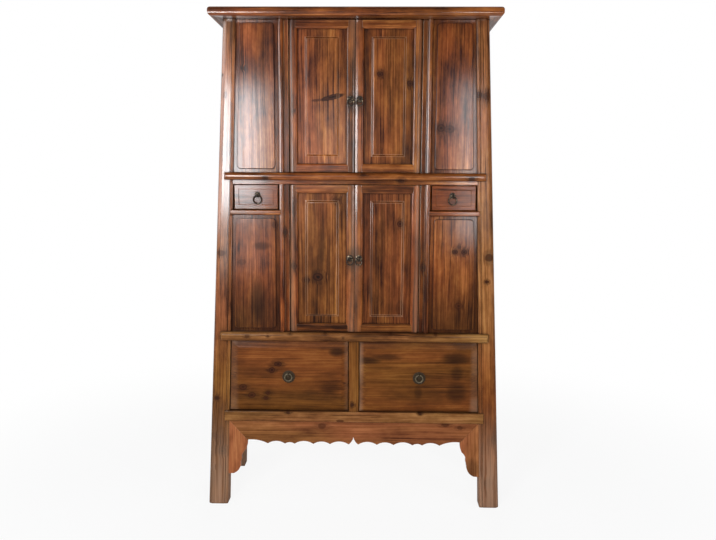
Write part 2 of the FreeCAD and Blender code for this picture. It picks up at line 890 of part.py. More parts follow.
def scallop_line():
    """The apron's lower edge from the right mitre to the left one: scallops on both sides of a notch."""
    points = (d.fifth_point, d.fourth_point, d.third_point, d.second_point, d.first_point, d.notch_half)
    right = [(d.mitre_half, d.mitre_low)]
    for before, point in zip((d.mitre_half, *points), points):
        share = d.scallop_steep / 2 if before is d.mitre_half else d.scallop_steep
        right.append((point, d.scallop_low, -share * (before - point)))
    notch = [(0, d.notch_top, d.notch_curve), (-d.notch_half, d.scallop_low, d.notch_curve)]
    left = []
    for after, here in zip(reversed(right[:-1]), reversed(right)):
        left.append((-after[0], after[1], here[2]))
    return right + notch + left


def make_apron():
    """The scalloped apron under the bottom rail and the two spandrels mitred to it."""
    body = new_body("apron")
    top = d.bottom_low
    outline = [(-inner(top), top), (inner(top), top), *scallop_line()]
    pad(body, "front", d.apron_front, d.apron_thick, [outline])
    keep(body)

    spandrel = new_body("left_spandrel")
    scroll = [
        (-d.first_scroll_in, d.first_scroll_up, d.first_scroll_bulge),
        (-d.second_scroll_in, d.second_scroll_up, d.second_scroll_bulge),
        (-d.third_scroll_in, d.third_scroll_up, d.third_scroll_bulge),
        (-d.last_scroll_in, d.last_scroll_up, d.last_scroll_bulge),
    ]
    edge = [(-inner(d.spandrel_low), d.spandrel_low), (-inner(top), top), (-d.mitre_half, d.mitre_low)]
    pad(spandrel, "front", d.apron_front, d.apron_thick, [edge + scroll])
    keep_pair("spandrels", [spandrel])


def make_sides():
    """Rails and panels of the two sides, all leaning with the posts."""
    rails = []
    for number, (low, high) in enumerate(RAIL_LEVELS):
        rail = new_body(f"left_side_rail_{number}")
        section = slanted(outer, d.side_rail_out, d.side_rail_in, low, high)
        pad(rail, "front", d.post_depth, BETWEEN_POSTS_DEEP, [section])
        long = BETWEEN_POSTS_DEEP + 2 * d.side_tenon
        pad(rail, "front", d.post_depth - d.side_tenon, long, [side_tenon(low, high)])
        rails.append(rail)
    keep_pair("side_rails", rails)

    panels = []
    for above, below in zip(RAIL_LEVELS, RAIL_LEVELS[1:]):
        panel = new_body(f"left_side_panel_{len(panels)}")
        section = slanted(outer, d.side_panel_out, d.side_panel_in, below[1], above[0])
        long = BETWEEN_POSTS_DEEP + 2 * d.tongue_long
        pad(panel, "front", d.post_depth - d.tongue_long, long, [section])
        panels.append(panel)
    keep_pair("side_panels", panels)


def make_back():
    """Rails and panels of the back."""
    levels = (TOP_LEVEL, MID_LEVEL, BACK_LEDGE, LOWER_LEVEL, BOTTOM_LEVEL)
    rails = []
    for number, (low, high) in enumerate(levels):
        rail = new_body(f"back_rail_{number}")
        thick = d.back_rail_back - d.back_rail_front
        pad(rail, "front", d.back_rail_front, thick, [between_posts(low, high)])
        pad(rail, "front", d.back_tenon_front, d.tenon_thick, [rail_tenon(low, high)])
        rails.append(rail)
    keep(group("back_rails", rails))

    panels = []
    for above, below in zip(levels, levels[1:]):
        panel = new_body(f"back_panel_{len(panels)}")
        outline = between_posts(below[1], above[0], d.tongue_long)
        pad(panel, "front", d.back_panel_front, d.back_panel_back - d.back_panel_front, [outline])
        panels.append(panel)
    keep(group("back_panels", panels))


def make_inside():
    """Decks and shelf, with the bearers, battens, runners, dust boards and partitions that carry things."""
    behind_rails = (d.rail_depth, d.back_rail_front)
    decks = []
    bearers = []
    for tier, (low, top) in (("upper", MID_LEVEL), ("lower", LOWER_LEVEL)):
        wide = outer(top) - d.side_rail_in
        narrow = inner(top)
        under = top - d.deck_thick
        deck = cross_board(f"{tier}_deck", (-wide, wide), (-narrow, narrow), behind_rails, (under, top))
        decks.append(deck)
        beside_doors = (-d.mullion_outer, -d.mullion_inner)
        bearers.append(board(f"{tier}_bearer", beside_doors, behind_rails, (low, under)))
    shelf_top = d.shelf_low + d.deck_thick
    wide = outer(shelf_top) - d.side_panel_in
    narrow = inner(shelf_top)
    depth = (d.shelf_front, d.back_panel_front)
    decks.append(cross_board("shelf", (-wide, wide), (-narrow, narrow), depth, (d.shelf_low, shelf_top)))
    keep(group("deck_boards", decks))

    batten = new_body("shelf_batten")
    reach = d.side_panel_in + d.batten_wide
    section = slanted(outer, d.side_panel_in, reach, d.shelf_low - d.batten_tall, d.shelf_low)
    pad(batten, "front", d.post_depth, BETWEEN_POSTS_DEEP, [section])

    dust_low = d.drawer_rail_top
    dust_top = dust_low + d.dust_thick
    dust_inner = -d.mullion_outer
    dust = cross_board(
        "dust_board",
        (d.side_panel_in - outer(dust_top), dust_inner),
        (-inner(dust_top), dust_inner),
        (d.dust_front, d.back_panel_front),
        (dust_low, dust_top),
    )
    partition = board(
        "partition",
        (dust_inner, dust_inner + d.box_side),
        (d.rail_depth, d.back_panel_front),
        (dust_low, d.mid_low),
    )
    runner_heights = (d.bottom_top - d.runner_tall, d.bottom_top)
    side_low = -inner(d.bottom_top)
    side_runner = board("side_runner", (side_low, side_low + d.runner_wide), behind_rails, runner_heights)
    left_things = [*bearers, batten, dust, partition, side_runner]
    twins = [mirrored(thing, f"{thing.Label}_twin") for thing in left_things]
    middle = (-d.runner_wide, d.runner_wide)
    middle_runner = board("middle_runner", middle, behind_rails, runner_heights)
    guide_heights = (d.bottom_top, d.bottom_top + d.guide_tall)
    guide = board("middle_guide", (-d.guide_half, d.guide_half), behind_rails, guide_heights)
    keep(group("runners_and_bearers", [*left_things, *twins, middle_runner, guide]))


def door_stile(name, edge, inwards, low, high):
    """A stile of a left door: its moulded inner edge is mitred to the rails, its outer part runs through."""
    wide = inwards * d.stile_wide
    plain = inwards * (d.stile_wide - d.stile_moulding)
    corner = d.stile_wide
    shoulder = d.stile_wide - d.stile_moulding
    body = new_body(name)
    face = [
        (edge, low),
        (edge + plain, low),
        (edge + plain, low + shoulder),
        (edge + wide, low + corner),
        (edge + wide, high - corner),
        (edge + plain, high - shoulder),
        (edge + plain, high),
        (edge, high),
    ]
    pad(body, "front", d.door_front, d.door_thick, [face])
    moulded = edge + wide
    edges = ((moulded, d.door_front, low + corner), (moulded, d.door_front, high - corner))
    round_edges(body, d.moulding_round, edges)
    return body


def cut_stile_joints(body, edge, inwards, low, high):
    """The panel groove and the two rail mortises in a stile."""
    inside = edge + inwards * d.stile_wide
    shoulder = edge + inwards * (d.stile_wide - d.stile_moulding)
    groove_low = low + d.stile_wide - d.groove_deep
    groove_high = high - d.stile_wide + d.groove_deep
    groove = rectangle(shoulder, inside, groove_low, groove_high)
    cut(body, "front", d.panel_groove, d.tongue_thick, [groove])
    mortises = [
        rectangle(shoulder - inwards * d.tenon_short, shoulder, tenon_low, tenon_low + d.door_tenon_tall)
        for tenon_low in (low + d.tenon_inset, high - d.tenon_inset - d.door_tenon_tall)
    ]
    cut(body, "front", d.panel_groove, d.tongue_thick, mortises)


def door_rail(name, level, upwards):
    """A rail of a left door, its moulded edge mitred to the stiles; upwards is 1 for the bottom rail."""
    outside = d.door_edge - d.stile_wide
    inside = d.door_gap + d.stile_wide
    body = new_body(name)
    shoulder = level + upwards * (d.stile_wide - d.stile_moulding)
    corner = level + upwards * d.stile_wide
    face = [
        (-outside - d.stile_moulding, level),
        (d.stile_moulding - inside, level),
        (d.stile_moulding - inside, shoulder),
        (-inside, corner),
        (-outside, corner),
        (-outside - d.stile_moulding, shoulder),
    ]
    pad(body, "front", d.door_front, d.door_thick, [face])
    moulded = ((-outside, d.door_front, corner), (-inside, d.door_front, corner))
    round_edges(body, d.moulding_round, moulded)
    groove = rectangle(-outside - d.stile_moulding, d.stile_moulding - inside, shoulder, corner)
    cut(body, "front", d.panel_groove, d.tongue_thick, [groove])
    reach = d.stile_moulding + d.tenon_short
    tenon_low = level + upwards * d.tenon_inset
    tenon_high = tenon_low + upwards * d.door_tenon_tall
    tenon = rectangle(-outside - reach, reach - inside, tenon_low, tenon_high)
    pad(body, "front", d.panel_groove, d.tongue_thick, [tenon])
    return body


def door_panel(name, low, high):
    """A floating door panel with a bevelled field."""
    outside = d.door_edge - d.stile_wide
    inside = d.door_gap + d.stile_wide
    body = new_body(name)
    reach = d.tongue_long
    shy = d.stile_wide - reach
    tongued = rectangle(-outside - reach, reach - inside, low + shy, high - shy)
    pad(body, "front", d.panel_groove, d.tongue_thick, [tongued])
    margins = (d.field_margin, d.field_margin + d.field_bevel)
    back_outline, front_outline = (
        rectangle(
            margin - outside, -inside - margin, low + d.stile_wide + margin, high - d.stile_wide - margin
        )
        for margin in margins
    )
    loft(body, "front", (d.panel_groove, back_outline), (d.field_front, front_outline))
    return body


def make_door(tier, sill, head, pull_height):
    """A pair of pivot doors: the left one made of stiles, rails, panel and pull, the right one mirrored."""
    low = sill + d.clearance
    high = head - d.clearance
    name = f"{tier}_left_door"
    hinge = door_stile(f"{name}_hinge_stile", -d.door_edge, 1, low, high)
    half = d.door_thick / 2 - d.hinge_flat
    back = d.door_front + d.door_thick
    edge = -d.door_edge
    round_edges(hinge, half, *(((edge, depth, low), (edge, depth, high)) for depth in (d.door_front, back)))
    cut_stile_joints(hinge, -d.door_edge, 1, low, high)
    pin = [(-PIVOT_X, PIVOT_Y, d.pin_radius)]
    pad(hinge, "plan", sill - d.pin_low_long, d.pin_low_long + d.clearance, circles=pin)
    pad(hinge, "plan", high, d.pin_high_long + d.clearance, circles=pin)

    meeting = door_stile(f"{name}_meeting_stile", -d.door_gap, -1, low, high)
    cut_stile_joints(meeting, -d.door_gap, -1, low, high)
    cut(meeting, "front", d.door_front, d.door_thick, [shank_hole(d.door_pull_in, pull_height)])

    rails = [door_rail(f"{name}_bottom_rail", low, 1), door_rail(f"{name}_top_rail", high, -1)]
    pieces = (
        ("stiles", group(f"{name}_stiles", [hinge, meeting])),
        ("rails", group(f"{name}_rails", rails)),
        ("panel", door_panel(f"{name}_panel", low, high)),
    )
    for piece, thing in pieces:
        keep(thing)
        keep(mirrored(thing, f"{tier}_right_door_{piece}"))
    sizes = (d.door_plate, as_size(0), d.door_ring, d.door_wire)
    make_pull(f"{tier}_left_door", d.door_pull_in, pull_height, d.door_front, back, sizes)


def drawer_box(name, x_range, front, z_range):
    """Sides, back and bottom of a drawer, seated behind its front."""
    left, right = x_range
    low, high = z_range
    inside = (left + d.box_side, right - d.box_side)
    back_from = d.box_back - d.box_side
    return group(
        name,
        [
            board(f"{name}_outer_side", (left, inside[0]), (front, d.box_back), z_range),
            board(f"{name}_inner_side", (inside[1], right), (front, d.box_back), z_range),
            board(f"{name}_back", inside, (back_from, d.box_back), z_range),
            board(f"{name}_bottom", inside, (front, back_from), (low, low + d.box_bottom)),
        ],
    )


def keep_drawer(size, front, box):
    """Hand in a left drawer and its right-hand twin."""
    for piece, thing in (("front", front), ("box", box)):
        keep(thing)
        keep(mirrored(thing, f"{size}_right_drawer_{piece}"))


def make_small_drawers():
    """The small drawers under the mid rail: flat fronts with an incised line."""
    low = d.drawer_rail_top + d.clearance
    high = d.mid_low - d.clearance
    front = new_body("small_left_drawer_front")
    face = (-d.small_outer, -d.small_inner, low, high)
    pad(front, "front", d.small_front, d.small_thick, [rectangle(*face)])
    bevel_face(front, d.small_front, d.drawer_edge)
    signs = (1, -1, 1, -1)
    line = [
        rectangle(*(side + sign * inset for side, sign in zip(face, signs)))
        for inset in (d.small_line_in, d.small_line_in + d.small_line_wide)
    ]
    cut(front, "front", d.small_front, d.small_line_deep, line)
    cut(front, "front", d.small_front, d.small_thick, [shank_hole(d.small_pull_in, d.small_pull_up)])
    back = d.small_front + d.small_thick
    box_low = d.drawer_rail_top + d.dust_thick + d.box_lift
    box_sides = (d.box_inset - d.small_outer, -d.small_inner - d.box_inset)
    box = drawer_box("small_left_drawer_box", box_sides, back, (box_low, d.small_box_top))
    keep_drawer("small", front, box)
    sizes = (d.small_plate, d.small_plate_rise, d.small_ring, d.small_wire)
    make_pull("small_left_drawer", d.small_pull_in, d.small_pull_up, d.small_front, back, sizes)


def make_large_drawers():
    """The large drawers: fronts that lean with the posts, with wide bevels around a field."""
    low = d.bottom_top + d.clearance
    high = d.lower_low - d.clearance
    inside = d.divider_half + d.clearance

    def outline(inset):
        """The front's outline, drawn in by an inset."""
        return [
            (d.clearance + inset - inner(low + inset), low + inset),
            (-inside - inset, low + inset),
            (-inside - inset, high - inset),
            (d.clearance + inset - inner(high - inset), high - inset),
        ]

    front = new_body("large_left_drawer_front")
    rim = d.large_front + d.large_bevel_deep
    pad(front, "front", rim, d.large_thick - d.large_bevel_deep, [outline(as_size(0))])
    loft(front, "front", (rim, outline(as_size(0))), (d.large_front, outline(d.large_bevel)))
    cut(front, "front", d.large_front, d.large_thick, [shank_hole(d.large_pull_in, d.large_pull_up)])
    back = d.large_front + d.large_thick
    box_sides = (d.clearance + d.box_inset - inner(high), -inside - d.box_inset)
    box_low = d.bottom_top + d.box_lift
    box = drawer_box("large_left_drawer_box", box_sides, back, (box_low, d.large_box_top))
    keep_drawer("large", front, box)
    sizes = (d.large_plate, -d.large_plate_drop, d.large_ring, d.large_wire)
    make_pull("large_left_drawer", d.large_pull_in, d.large_pull_up, d.large_front, back, sizes)


def shank_hole(from_middle, height):
    """The square hole for a cotter pin, on the left, seen from the front."""
    half = d.shank_half + d.shank_play
    return rectangle(-from_middle - half, half - from_middle, height - half, height + half)


def make_pull(name, from_middle, height, face, back, sizes):
    """A ring pull on the left and its twin: bevelled plate, cotter pin clenched behind, hanging ring."""
    plate_radius, rise, ring_radius, wire = sizes
    place = (-from_middle, FRONT_Y + face, height)
    plate = new_body(f"{name}_rosette", place)
    pad(plate, "front", -d.plate_thick, d.plate_thick, [polygon(plate_radius, PLATE_SIDES, y=rise)])
    bevel_face(plate, -d.plate_thick, d.plate_bevel)
    if rise.value < -d.boss_radius.value:
        pad(plate, "front", -d.dome_out, d.dome_out, [polygon(d.dome_radius, EYE_SIDES, y=rise)])
    pad(plate, "front", -d.boss_out, d.boss_out, [polygon(d.boss_radius, EYE_SIDES)])
    hole = d.shank_half + d.shank_play
    cut(plate, "front", -d.boss_out, d.boss_out, [rectangle(-hole, hole, -hole, hole)])

    cotter = new_body(f"{name}_cotter", place)
    eye = [polygon(radius, EYE_SIDES, -d.eye_out) for radius in (d.eye_outer, d.eye_bore)]
    pad(cotter, "side", -d.eye_half, 2 * d.eye_half, eye)
    root = (d.eye_outer + d.eye_bore) / 2 - d.eye_out
    half = d.shank_half
    through = back - face
    pad(cotter, "front", root, through - root, [rectangle(-half, half, -half, half)])
    pad(cotter, "front", through, d.prong_thick, [rectangle(-half, half, -d.prong_long, d.prong_long)])

    ring = new_body(f"{name}_pull_ring", (-from_middle, FRONT_Y + face - d.eye_out, height - ring_radius))
    rims = [polygon(ring_radius + wire, RING_SIDES), polygon(ring_radius - wire, RING_SIDES)]
    pad(ring, "front", -wire, 2 * wire, rims)
    for face_depth in (-wire, wire):
        bevel_face(ring, face_depth, wire * WIRE_BEVEL)

    right_name = name.replace("left", "right")
    for piece, thing in (("pull_plate", group(f"{name}_pull_plate", [plate, cotter])), ("pull_ring", ring)):
        keep(thing)
        keep(mirrored(thing, f"{right_name}_{piece}"))


def write_parts():
    """Check every object of the document, then write each node to its file."""
    doc.recompute()
    for thing in doc.Objects:
        if "Invalid" in thing.State or "Error" in thing.State:
            raise ValueError(f"{thing.Label} failed: {thing.State}")
    for node in nodes:
        if node.Shape.isNull() or not node.Shape.isValid():
            raise ValueError(f"{node.Label} has no valid shape")
    os.makedirs("parts", exist_ok=True)
    for node in nodes:
        node.Shape.exportStep(f"parts/{node.Label}.step")


make_posts()
make_cap()
make_rails()
make_mullions()
make_small_drawer_rails()
make_divider()
make_fixed_panels()
make_apron()
make_sides()
make_back()
make_inside()
make_door("upper", d.mid_top, d.cap_low, d.upper_pull_up)
make_door("lower", d.lower_top, d.mid_low, d.lower_pull_up)
make_small_drawers()
make_large_drawers()
write_parts()
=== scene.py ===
import json
import logging
import math
from dataclasses import dataclass, field
from enum import Enum
from functools import reduce
from typing import Any, Optional, Sequence, Union

import bpy
from mathutils import Matrix, Vector

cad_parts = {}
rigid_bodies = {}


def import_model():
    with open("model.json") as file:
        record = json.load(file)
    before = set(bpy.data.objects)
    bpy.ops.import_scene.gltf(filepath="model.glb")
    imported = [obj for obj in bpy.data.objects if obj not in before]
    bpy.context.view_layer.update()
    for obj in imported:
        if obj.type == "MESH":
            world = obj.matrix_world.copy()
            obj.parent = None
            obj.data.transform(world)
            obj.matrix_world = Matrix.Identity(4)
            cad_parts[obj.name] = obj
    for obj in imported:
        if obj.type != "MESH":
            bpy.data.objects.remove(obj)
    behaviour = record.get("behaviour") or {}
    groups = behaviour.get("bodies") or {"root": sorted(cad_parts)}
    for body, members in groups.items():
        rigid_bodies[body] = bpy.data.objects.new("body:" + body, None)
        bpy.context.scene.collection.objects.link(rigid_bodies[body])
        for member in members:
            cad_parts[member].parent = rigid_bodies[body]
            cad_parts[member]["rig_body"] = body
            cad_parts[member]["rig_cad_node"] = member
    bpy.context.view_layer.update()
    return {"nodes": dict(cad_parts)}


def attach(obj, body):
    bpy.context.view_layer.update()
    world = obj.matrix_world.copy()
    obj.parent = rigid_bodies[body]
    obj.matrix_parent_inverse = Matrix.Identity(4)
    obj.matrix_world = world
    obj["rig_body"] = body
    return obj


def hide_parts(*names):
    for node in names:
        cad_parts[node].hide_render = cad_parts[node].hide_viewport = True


LOG = logging.getLogger("wedding_cabinet")
MM_PER_M = 1000
MERGE_WITHIN = 0.00001
SLIVER = 0.00002
ON_PLANE = 0.00005
FLAT_ANGLE = math.radians(0.5)
CRISP_ANGLE = math.radians(4)
EDGE_ANGLE = math.radians(32)
SMOOTH_ANGLE = math.radians(40)
TO_FRONT = (math.pi / 2, 0, 0)
TO_SIDE = (0, math.pi / 2, 0)
WIRE_SIDES = 14
CABINET_MIDDLE = (0, -0.2, 1.2)
STILE_CROWN = ((0.0, 0.00186), (0.00325, 0.00123), (0.0065, 0.00068), (0.00975, 0.00023), (0.013, 0.0))
POST_CROWN = ((0.0, 0.0042), (0.0028, 0.0024), (0.0056, 0.0011), (0.0084, 0.0003))

Piece = bpy.types.Object
Socket = bpy.types.NodeSocket
Nodes = dict[str, Piece]
Pair = tuple[float, float]
Place = tuple[float, float, float]
Colour = tuple[float, float, float]
Operand = Union["Value", float, int]
Marks = dict[str, tuple[tuple[float, ...], ...]]


def srgb(red: int, green: int, blue: int) -> Colour:
    """Turn a colour as a screen shows it, from 0 to 255, into linear light."""
    shares = (level / 255 for level in (red, green, blue))
    return tuple(s / 12.92 if s <= 0.04045 else ((s + 0.055) / 1.055) ** 2.4 for s in shares)


class Grain(Enum):
    """The way the fibres of a board run."""

    ACROSS = "X"
    INWARDS = "Y"
    UPRIGHT = "Z"


class Tier(Enum):
    """The two tiers of doors."""

    UPPER = "upper"
    LOWER = "lower"


class Side(Enum):
    """The two halves of the front."""

    LEFT = "left"
    RIGHT = "right"

    @property
    def sign(self) -> int:
        """The sign of X on this half."""
        return -1 if self is Side.LEFT else 1


class DrawerSize(Enum):
    """The two kinds of drawer."""

    SMALL = "small"
    LARGE = "large"


class Value:
    """A number that a shader works out, with the usual signs of arithmetic."""

    def __init__(self, graph: "Graph", socket: Socket) -> None:
        """Wrap a socket of a graph."""
        self.graph = graph
        self.socket = socket

    def __add__(self, other: Operand) -> "Value":
        """This value plus another."""
        return self.graph.math("ADD", self, other)

    def __radd__(self, other: Operand) -> "Value":
        """Another value plus this."""
        return self.graph.math("ADD", other, self)

    def __sub__(self, other: Operand) -> "Value":
        """This value minus another."""
        return self.graph.math("SUBTRACT", self, other)

    def __rsub__(self, other: Operand) -> "Value":
        """Another value minus this."""
        return self.graph.math("SUBTRACT", other, self)

    def __mul__(self, other: Operand) -> "Value":
        """This value times another."""
        return self.graph.math("MULTIPLY", self, other)

    def __rmul__(self, other: Operand) -> "Value":
        """Another value times this."""
        return self.graph.math("MULTIPLY", other, self)

    def __pow__(self, other: Operand) -> "Value":
        """This value to a power."""
        return self.graph.math("POWER", self, other)


class Graph:
    """A node tree that is filled from Python expressions."""

    def __init__(self, owner: Union[bpy.types.Material, bpy.types.World]) -> None:
        """Start with an empty tree.

        Args:
            owner: What the tree belongs to.
        """
        owner.use_nodes = True
        self.tree = owner.node_tree
        self.tree.nodes.clear()

    def node(
        self,
        kind: str,
        settings: Optional[dict[str, Any]] = None,
        sockets: Optional[dict[Union[str, int], Any]] = None,
    ) -> bpy.types.Node:
        """Make a node.

        Args:
            kind: The node's type, without ShaderNode in front of it.
            settings: Its settings; "stops" are the places and colours of a ramp.
            sockets: Values or links for its inputs, by name or number.

        Returns:
            The new node.
        """
        made = self.tree.nodes.new(f"ShaderNode{kind}")
        for name, setting in (settings or {}).items():
            if name == "stops":
                self._set_stops(made.color_ramp, setting)
            else:
                setattr(made, name, setting)
        for key, value in (sockets or {}).items():
            source = value.socket if isinstance(value, Value) else value
            if isinstance(source, Socket):
                self.tree.links.new(source, made.inputs[key])
            else:
                made.inputs[key].default_value = source
        return made

    @staticmethod
    def _set_stops(ramp: bpy.types.ColorRamp, stops: Sequence[tuple[float, Colour]]) -> None:
        """Give a ramp its stops.

        Args:
            ramp: The ramp.
            stops: Places and colours, from low to high.
        """
        while len(ramp.elements) < len(stops):
            ramp.elements.new(1.0)
        for element, (place, colour) in zip(ramp.elements, stops):
            element.position = place
            element.color = (*colour, 1.0)

    def value(self, node: bpy.types.Node, output: Union[str, int] = 0) -> Value:
        """An output of a node as a value."""
        return Value(self, node.outputs[output])

    def math(self, operation: str, *terms: Operand) -> Value:
        """A Math node on values and numbers."""
        return self.value(self.node("Math", {"operation": operation}, dict(enumerate(terms))))

    def most(self, *values: Operand) -> Value:
        """The largest of some values."""
        return reduce(lambda first, second: self.math("MAXIMUM", first, second), values)

    def rays(self, *kinds: str) -> Value:
        """1 for rays of some kinds, 0 for others."""
        path = self.node("LightPath")
        return self.most(*(self.value(path, f"Is {kind} Ray") for kind in kinds))

    def vector(self, x: Operand, y: Operand, z: Operand) -> Socket:
        """Three values as one vector."""
        return self.node("CombineXYZ", None, {"X": x, "Y": y, "Z": z}).outputs[0]

    def vector_math(self, operation: str, *terms: Union[Colour, Socket]) -> Socket:
        """A Vector Math node on vectors."""
        return self.node("VectorMath", {"operation": operation}, dict(enumerate(terms))).outputs["Vector"]

    def noise(self, place: Socket, detail: float = 2.0, rough: float = 0.5) -> Value:
        """Smooth noise from 0 to 1 at a place that already has its scale."""
        sockets = {"Vector": place, "Scale": 1.0, "Detail": detail, "Roughness": rough}
        return self.value(self.node("TexNoise", None, sockets), "Fac")

    def openness(self, distance: float) -> Value:
        """How open the surface is within a distance, from 0 to 1."""
        sockets = {"Distance": distance}
        return self.value(self.node("AmbientOcclusion", {"samples": 6}, sockets), "AO")

    def ease(self, value: Value, low: float, high: float, start: float = 0.0, end: float = 1.0) -> Value:
        """Go smoothly from start to end as a value goes from low to high."""
        sockets = {"Value": value, "From Min": low, "From Max": high, "To Min": start, "To Max": end}
        return self.value(self.node("MapRange", {"interpolation_type": "SMOOTHSTEP"}, sockets))

    def surface(self, sockets: dict[str, Any]) -> None:
        """End the graph with a Principled shader."""
        shader = self.node("BsdfPrincipled", None, sockets)
        self.node("OutputMaterial", None, {"Surface": shader.outputs[0]})

    def blend(self, share: Operand, first: Any, second: Any, mode: str = "MIX") -> Socket:
        """Mix two colours.

        Args:
            share: How much of the second colour shows.
            first: The first colour or its socket.
            second: The second colour or its socket.
            mode: The blend mode.

        Returns:
            The mixed colour's socket.
        """
        colours = [(*c, 1.0) if isinstance(c, tuple) else c for c in (first, second)]
        settings = {"data_type": "RGBA", "blend_type": mode}
        return self.node("Mix", settings, {0: share, 6: colours[0], 7: colours[1]}).outputs[2]


@dataclass(frozen=True)
class Knot:
    """A knot on a front face: its middle and half size in millimetres, its depth and its tilt."""

    x: int
    z: int
    half_x: int
    half_z: int
    depth: float = 0.85
    tilt: float = 0.0


@dataclass(frozen=True)
class Stain(Knot):
    """A soft dark patch, which has no heart."""


KNOTS: Marks = {
    "front_left_post": (
        (-522, 1754, 6, 6), (-508, 1678, 8, 14, 0.35), (-535, 1058, 16, 12, 0.6), (-563, 457, 10, 8),
        (-546, 230, 17, 15), (-578, 294, 17, 12, 0.5), (-585, 160, 8, 8, 0.6),
    ),
    "front_right_post": (
        (479, 1681, 12, 12), (510, 1677, 15, 15, 0.6), (536, 1047, 16, 16, 0.75), (531, 950, 8, 6),
        (583, 294, 16, 21, 0.6), (559, 108, 17, 17, 0.5),
    ),
    "mid_rail": ((-352, 1357, 12, 8), (33, 1371, 12, 6), (182, 1349, 12, 8), (458, 1358, 12, 8)),
    "lower_rail": (
        (-432, 723, 10, 6, 0.6), (-347, 724, 6, 5, 0.6), (-258, 733, 6, 4, 0.6), (-116, 735, 7, 4, 0.6),
        (-43, 719, 6, 4, 0.6), (150, 735, 5, 4, 0.6), (330, 735, 6, 4, 0.6),
    ),
    "bottom_rail": ((-269, 399, 9, 5), (273, 402, 8, 5), (-55, 368, 16, 6, 0.6)),
    "mullions": ((275, 1004, 10, 16), (-277, 1144, 8, 12)),
    "large_drawer_divider": ((-6, 435, 8, 8),),
    "upper_fixed_panels": ((336, 1555, 16, 14), (367, 1551, 23, 14, 0.6), (-441, 1781, 8, 8)),
    "lower_fixed_panels": (
        (-318, 1171, 12, 12, 0.6), (-452, 1022, 16, 12, 0.4), (401, 1069, 12, 10), (437, 1069, 12, 10),
        (417, 1089, 8, 8, 0.6), (422, 851, 16, 12, 0.5),
    ),
    "apron": ((-130, 342, 17, 12, 0.5), (377, 354, 16, 8, 0.6), (438, 342, 12, 8, 0.5)),
    "upper_left_door_stiles": ((-243, 1618, 8, 8),),
    "upper_left_door_panel": ((-90, 1672, 46, 10, 0.95, 0.24), (-150, 1660, 22, 5, 0.6, 0.1)),
    "upper_right_door_stiles": ((212, 1726, 12, 12),),
    "upper_right_door_panel": ((96, 1760, 12, 10), (214, 1726, 12, 12)),
    "lower_left_door_stiles": ((-243, 1007, 12, 12),),
    "lower_left_door_panel": ((-146, 963, 20, 16, 0.95), (-191, 950, 12, 8), (-74, 1272, 16, 10, 0.6)),
    "lower_right_door_panel": ((181, 1179, 12, 12), (185, 839, 16, 32, 0.5)),
    "large_left_drawer_front": (
        (-310, 603, 16, 10), (-335, 577, 12, 12), (-455, 504, 16, 12, 0.7), (-419, 471, 16, 12, 0.7),
        (-352, 480, 10, 8, 0.75), (-361, 459, 10, 8, 0.75),
    ),
}
STAINS: Marks = {
    "lower_fixed_panels": ((-371, 1087, 30, 14, 0.6), (-389, 859, 28, 81, 0.75)),
    "spandrels": ((488, 165, 32, 36, 0.5),),
    "upper_left_door_stiles": ((-12, 1645, 20, 35, 0.5),),
    "upper_right_door_stiles": ((11, 1645, 20, 35, 0.5),),
    "lower_left_door_stiles": ((-10, 1040, 24, 40, 0.65),),
    "lower_left_door_panel": ((-130, 1092, 10, 96, 0.5),),
    "lower_right_door_stiles": ((12, 1040, 24, 40, 0.65),),
    "lower_right_door_panel": ((109, 1174, 8, 88, 0.45),),
    "large_left_drawer_front": ((-69, 655, 28, 15, 0.8), (-97, 504, 33, 21, 0.5)),
    "large_right_drawer_front": (
        (58, 622, 40, 14, 0.75), (130, 635, 60, 9, 0.6), (411, 632, 45, 22, 0.7), (419, 490, 33, 41, 0.6),
        (264, 490, 14, 24, 0.5), (421, 570, 20, 30, 0.45),
    ),
}


def marks(node: str) -> tuple[Knot, ...]:
    """The knots and stains of a board."""
    knots = (Knot(*row) for row in KNOTS.get(node, ()))
    return (*knots, *(Stain(*row) for row in STAINS.get(node, ())))


@dataclass(frozen=True)
class Tones:
    """The dark, middle and light tone of a kind of board."""

    dark: Colour
    middle: Colour
    light: Colour


AMBER_FIR = Tones(srgb(56, 22, 7), srgb(144, 80, 38), srgb(208, 138, 78))
RUSSET_FIR = Tones(srgb(44, 18, 5), srgb(118, 65, 27), srgb(178, 112, 56))
RED_FIR = Tones(srgb(50, 19, 5), srgb(130, 69, 29), srgb(196, 124, 66))
DEEP_FIR = Tones(srgb(40, 17, 5), srgb(108, 59, 26), srgb(164, 102, 52))
BROWN_FIR = Tones(srgb(46, 23, 8), srgb(110, 64, 26), srgb(158, 104, 52))
DARK_FIR = Tones(srgb(34, 15, 5), srgb(80, 43, 17), srgb(122, 74, 34))
APRON_FIR = Tones(srgb(68, 32, 14), srgb(134, 83, 48), srgb(176, 120, 77))
ORANGE_FIR = Tones(srgb(88, 42, 20), srgb(156, 95, 60), srgb(200, 138, 94))
RAIL_FIR = Tones(srgb(54, 28, 11), srgb(120, 77, 42), srgb(168, 120, 75))
WORN_FIR = Tones(srgb(58, 28, 11), srgb(148, 92, 54), srgb(202, 144, 96))
DRY_FIR = Tones(srgb(96, 66, 42), srgb(150, 112, 76), srgb(188, 152, 110))
# Near-black brown of knots and stains, also used for painted shade in creases and hollows.
DARK_MARKS_AND_SHADE: Colour = srgb(22, 11, 5)
HEARTWOOD: Colour = srgb(84, 40, 18)
BARE_WOOD: Colour = srgb(158, 124, 100)
SCORED_LINE: Colour = srgb(44, 20, 9)
RUBBED_EDGE: Colour = srgb(190, 146, 112)
RED_TINT: Colour = (1.0, 0.84, 0.86)
WINDOW_LIGHT: Colour = (0.95, 0.98, 1.0)
OLIVE_TINT: Colour = (0.9, 0.96, 0.76)


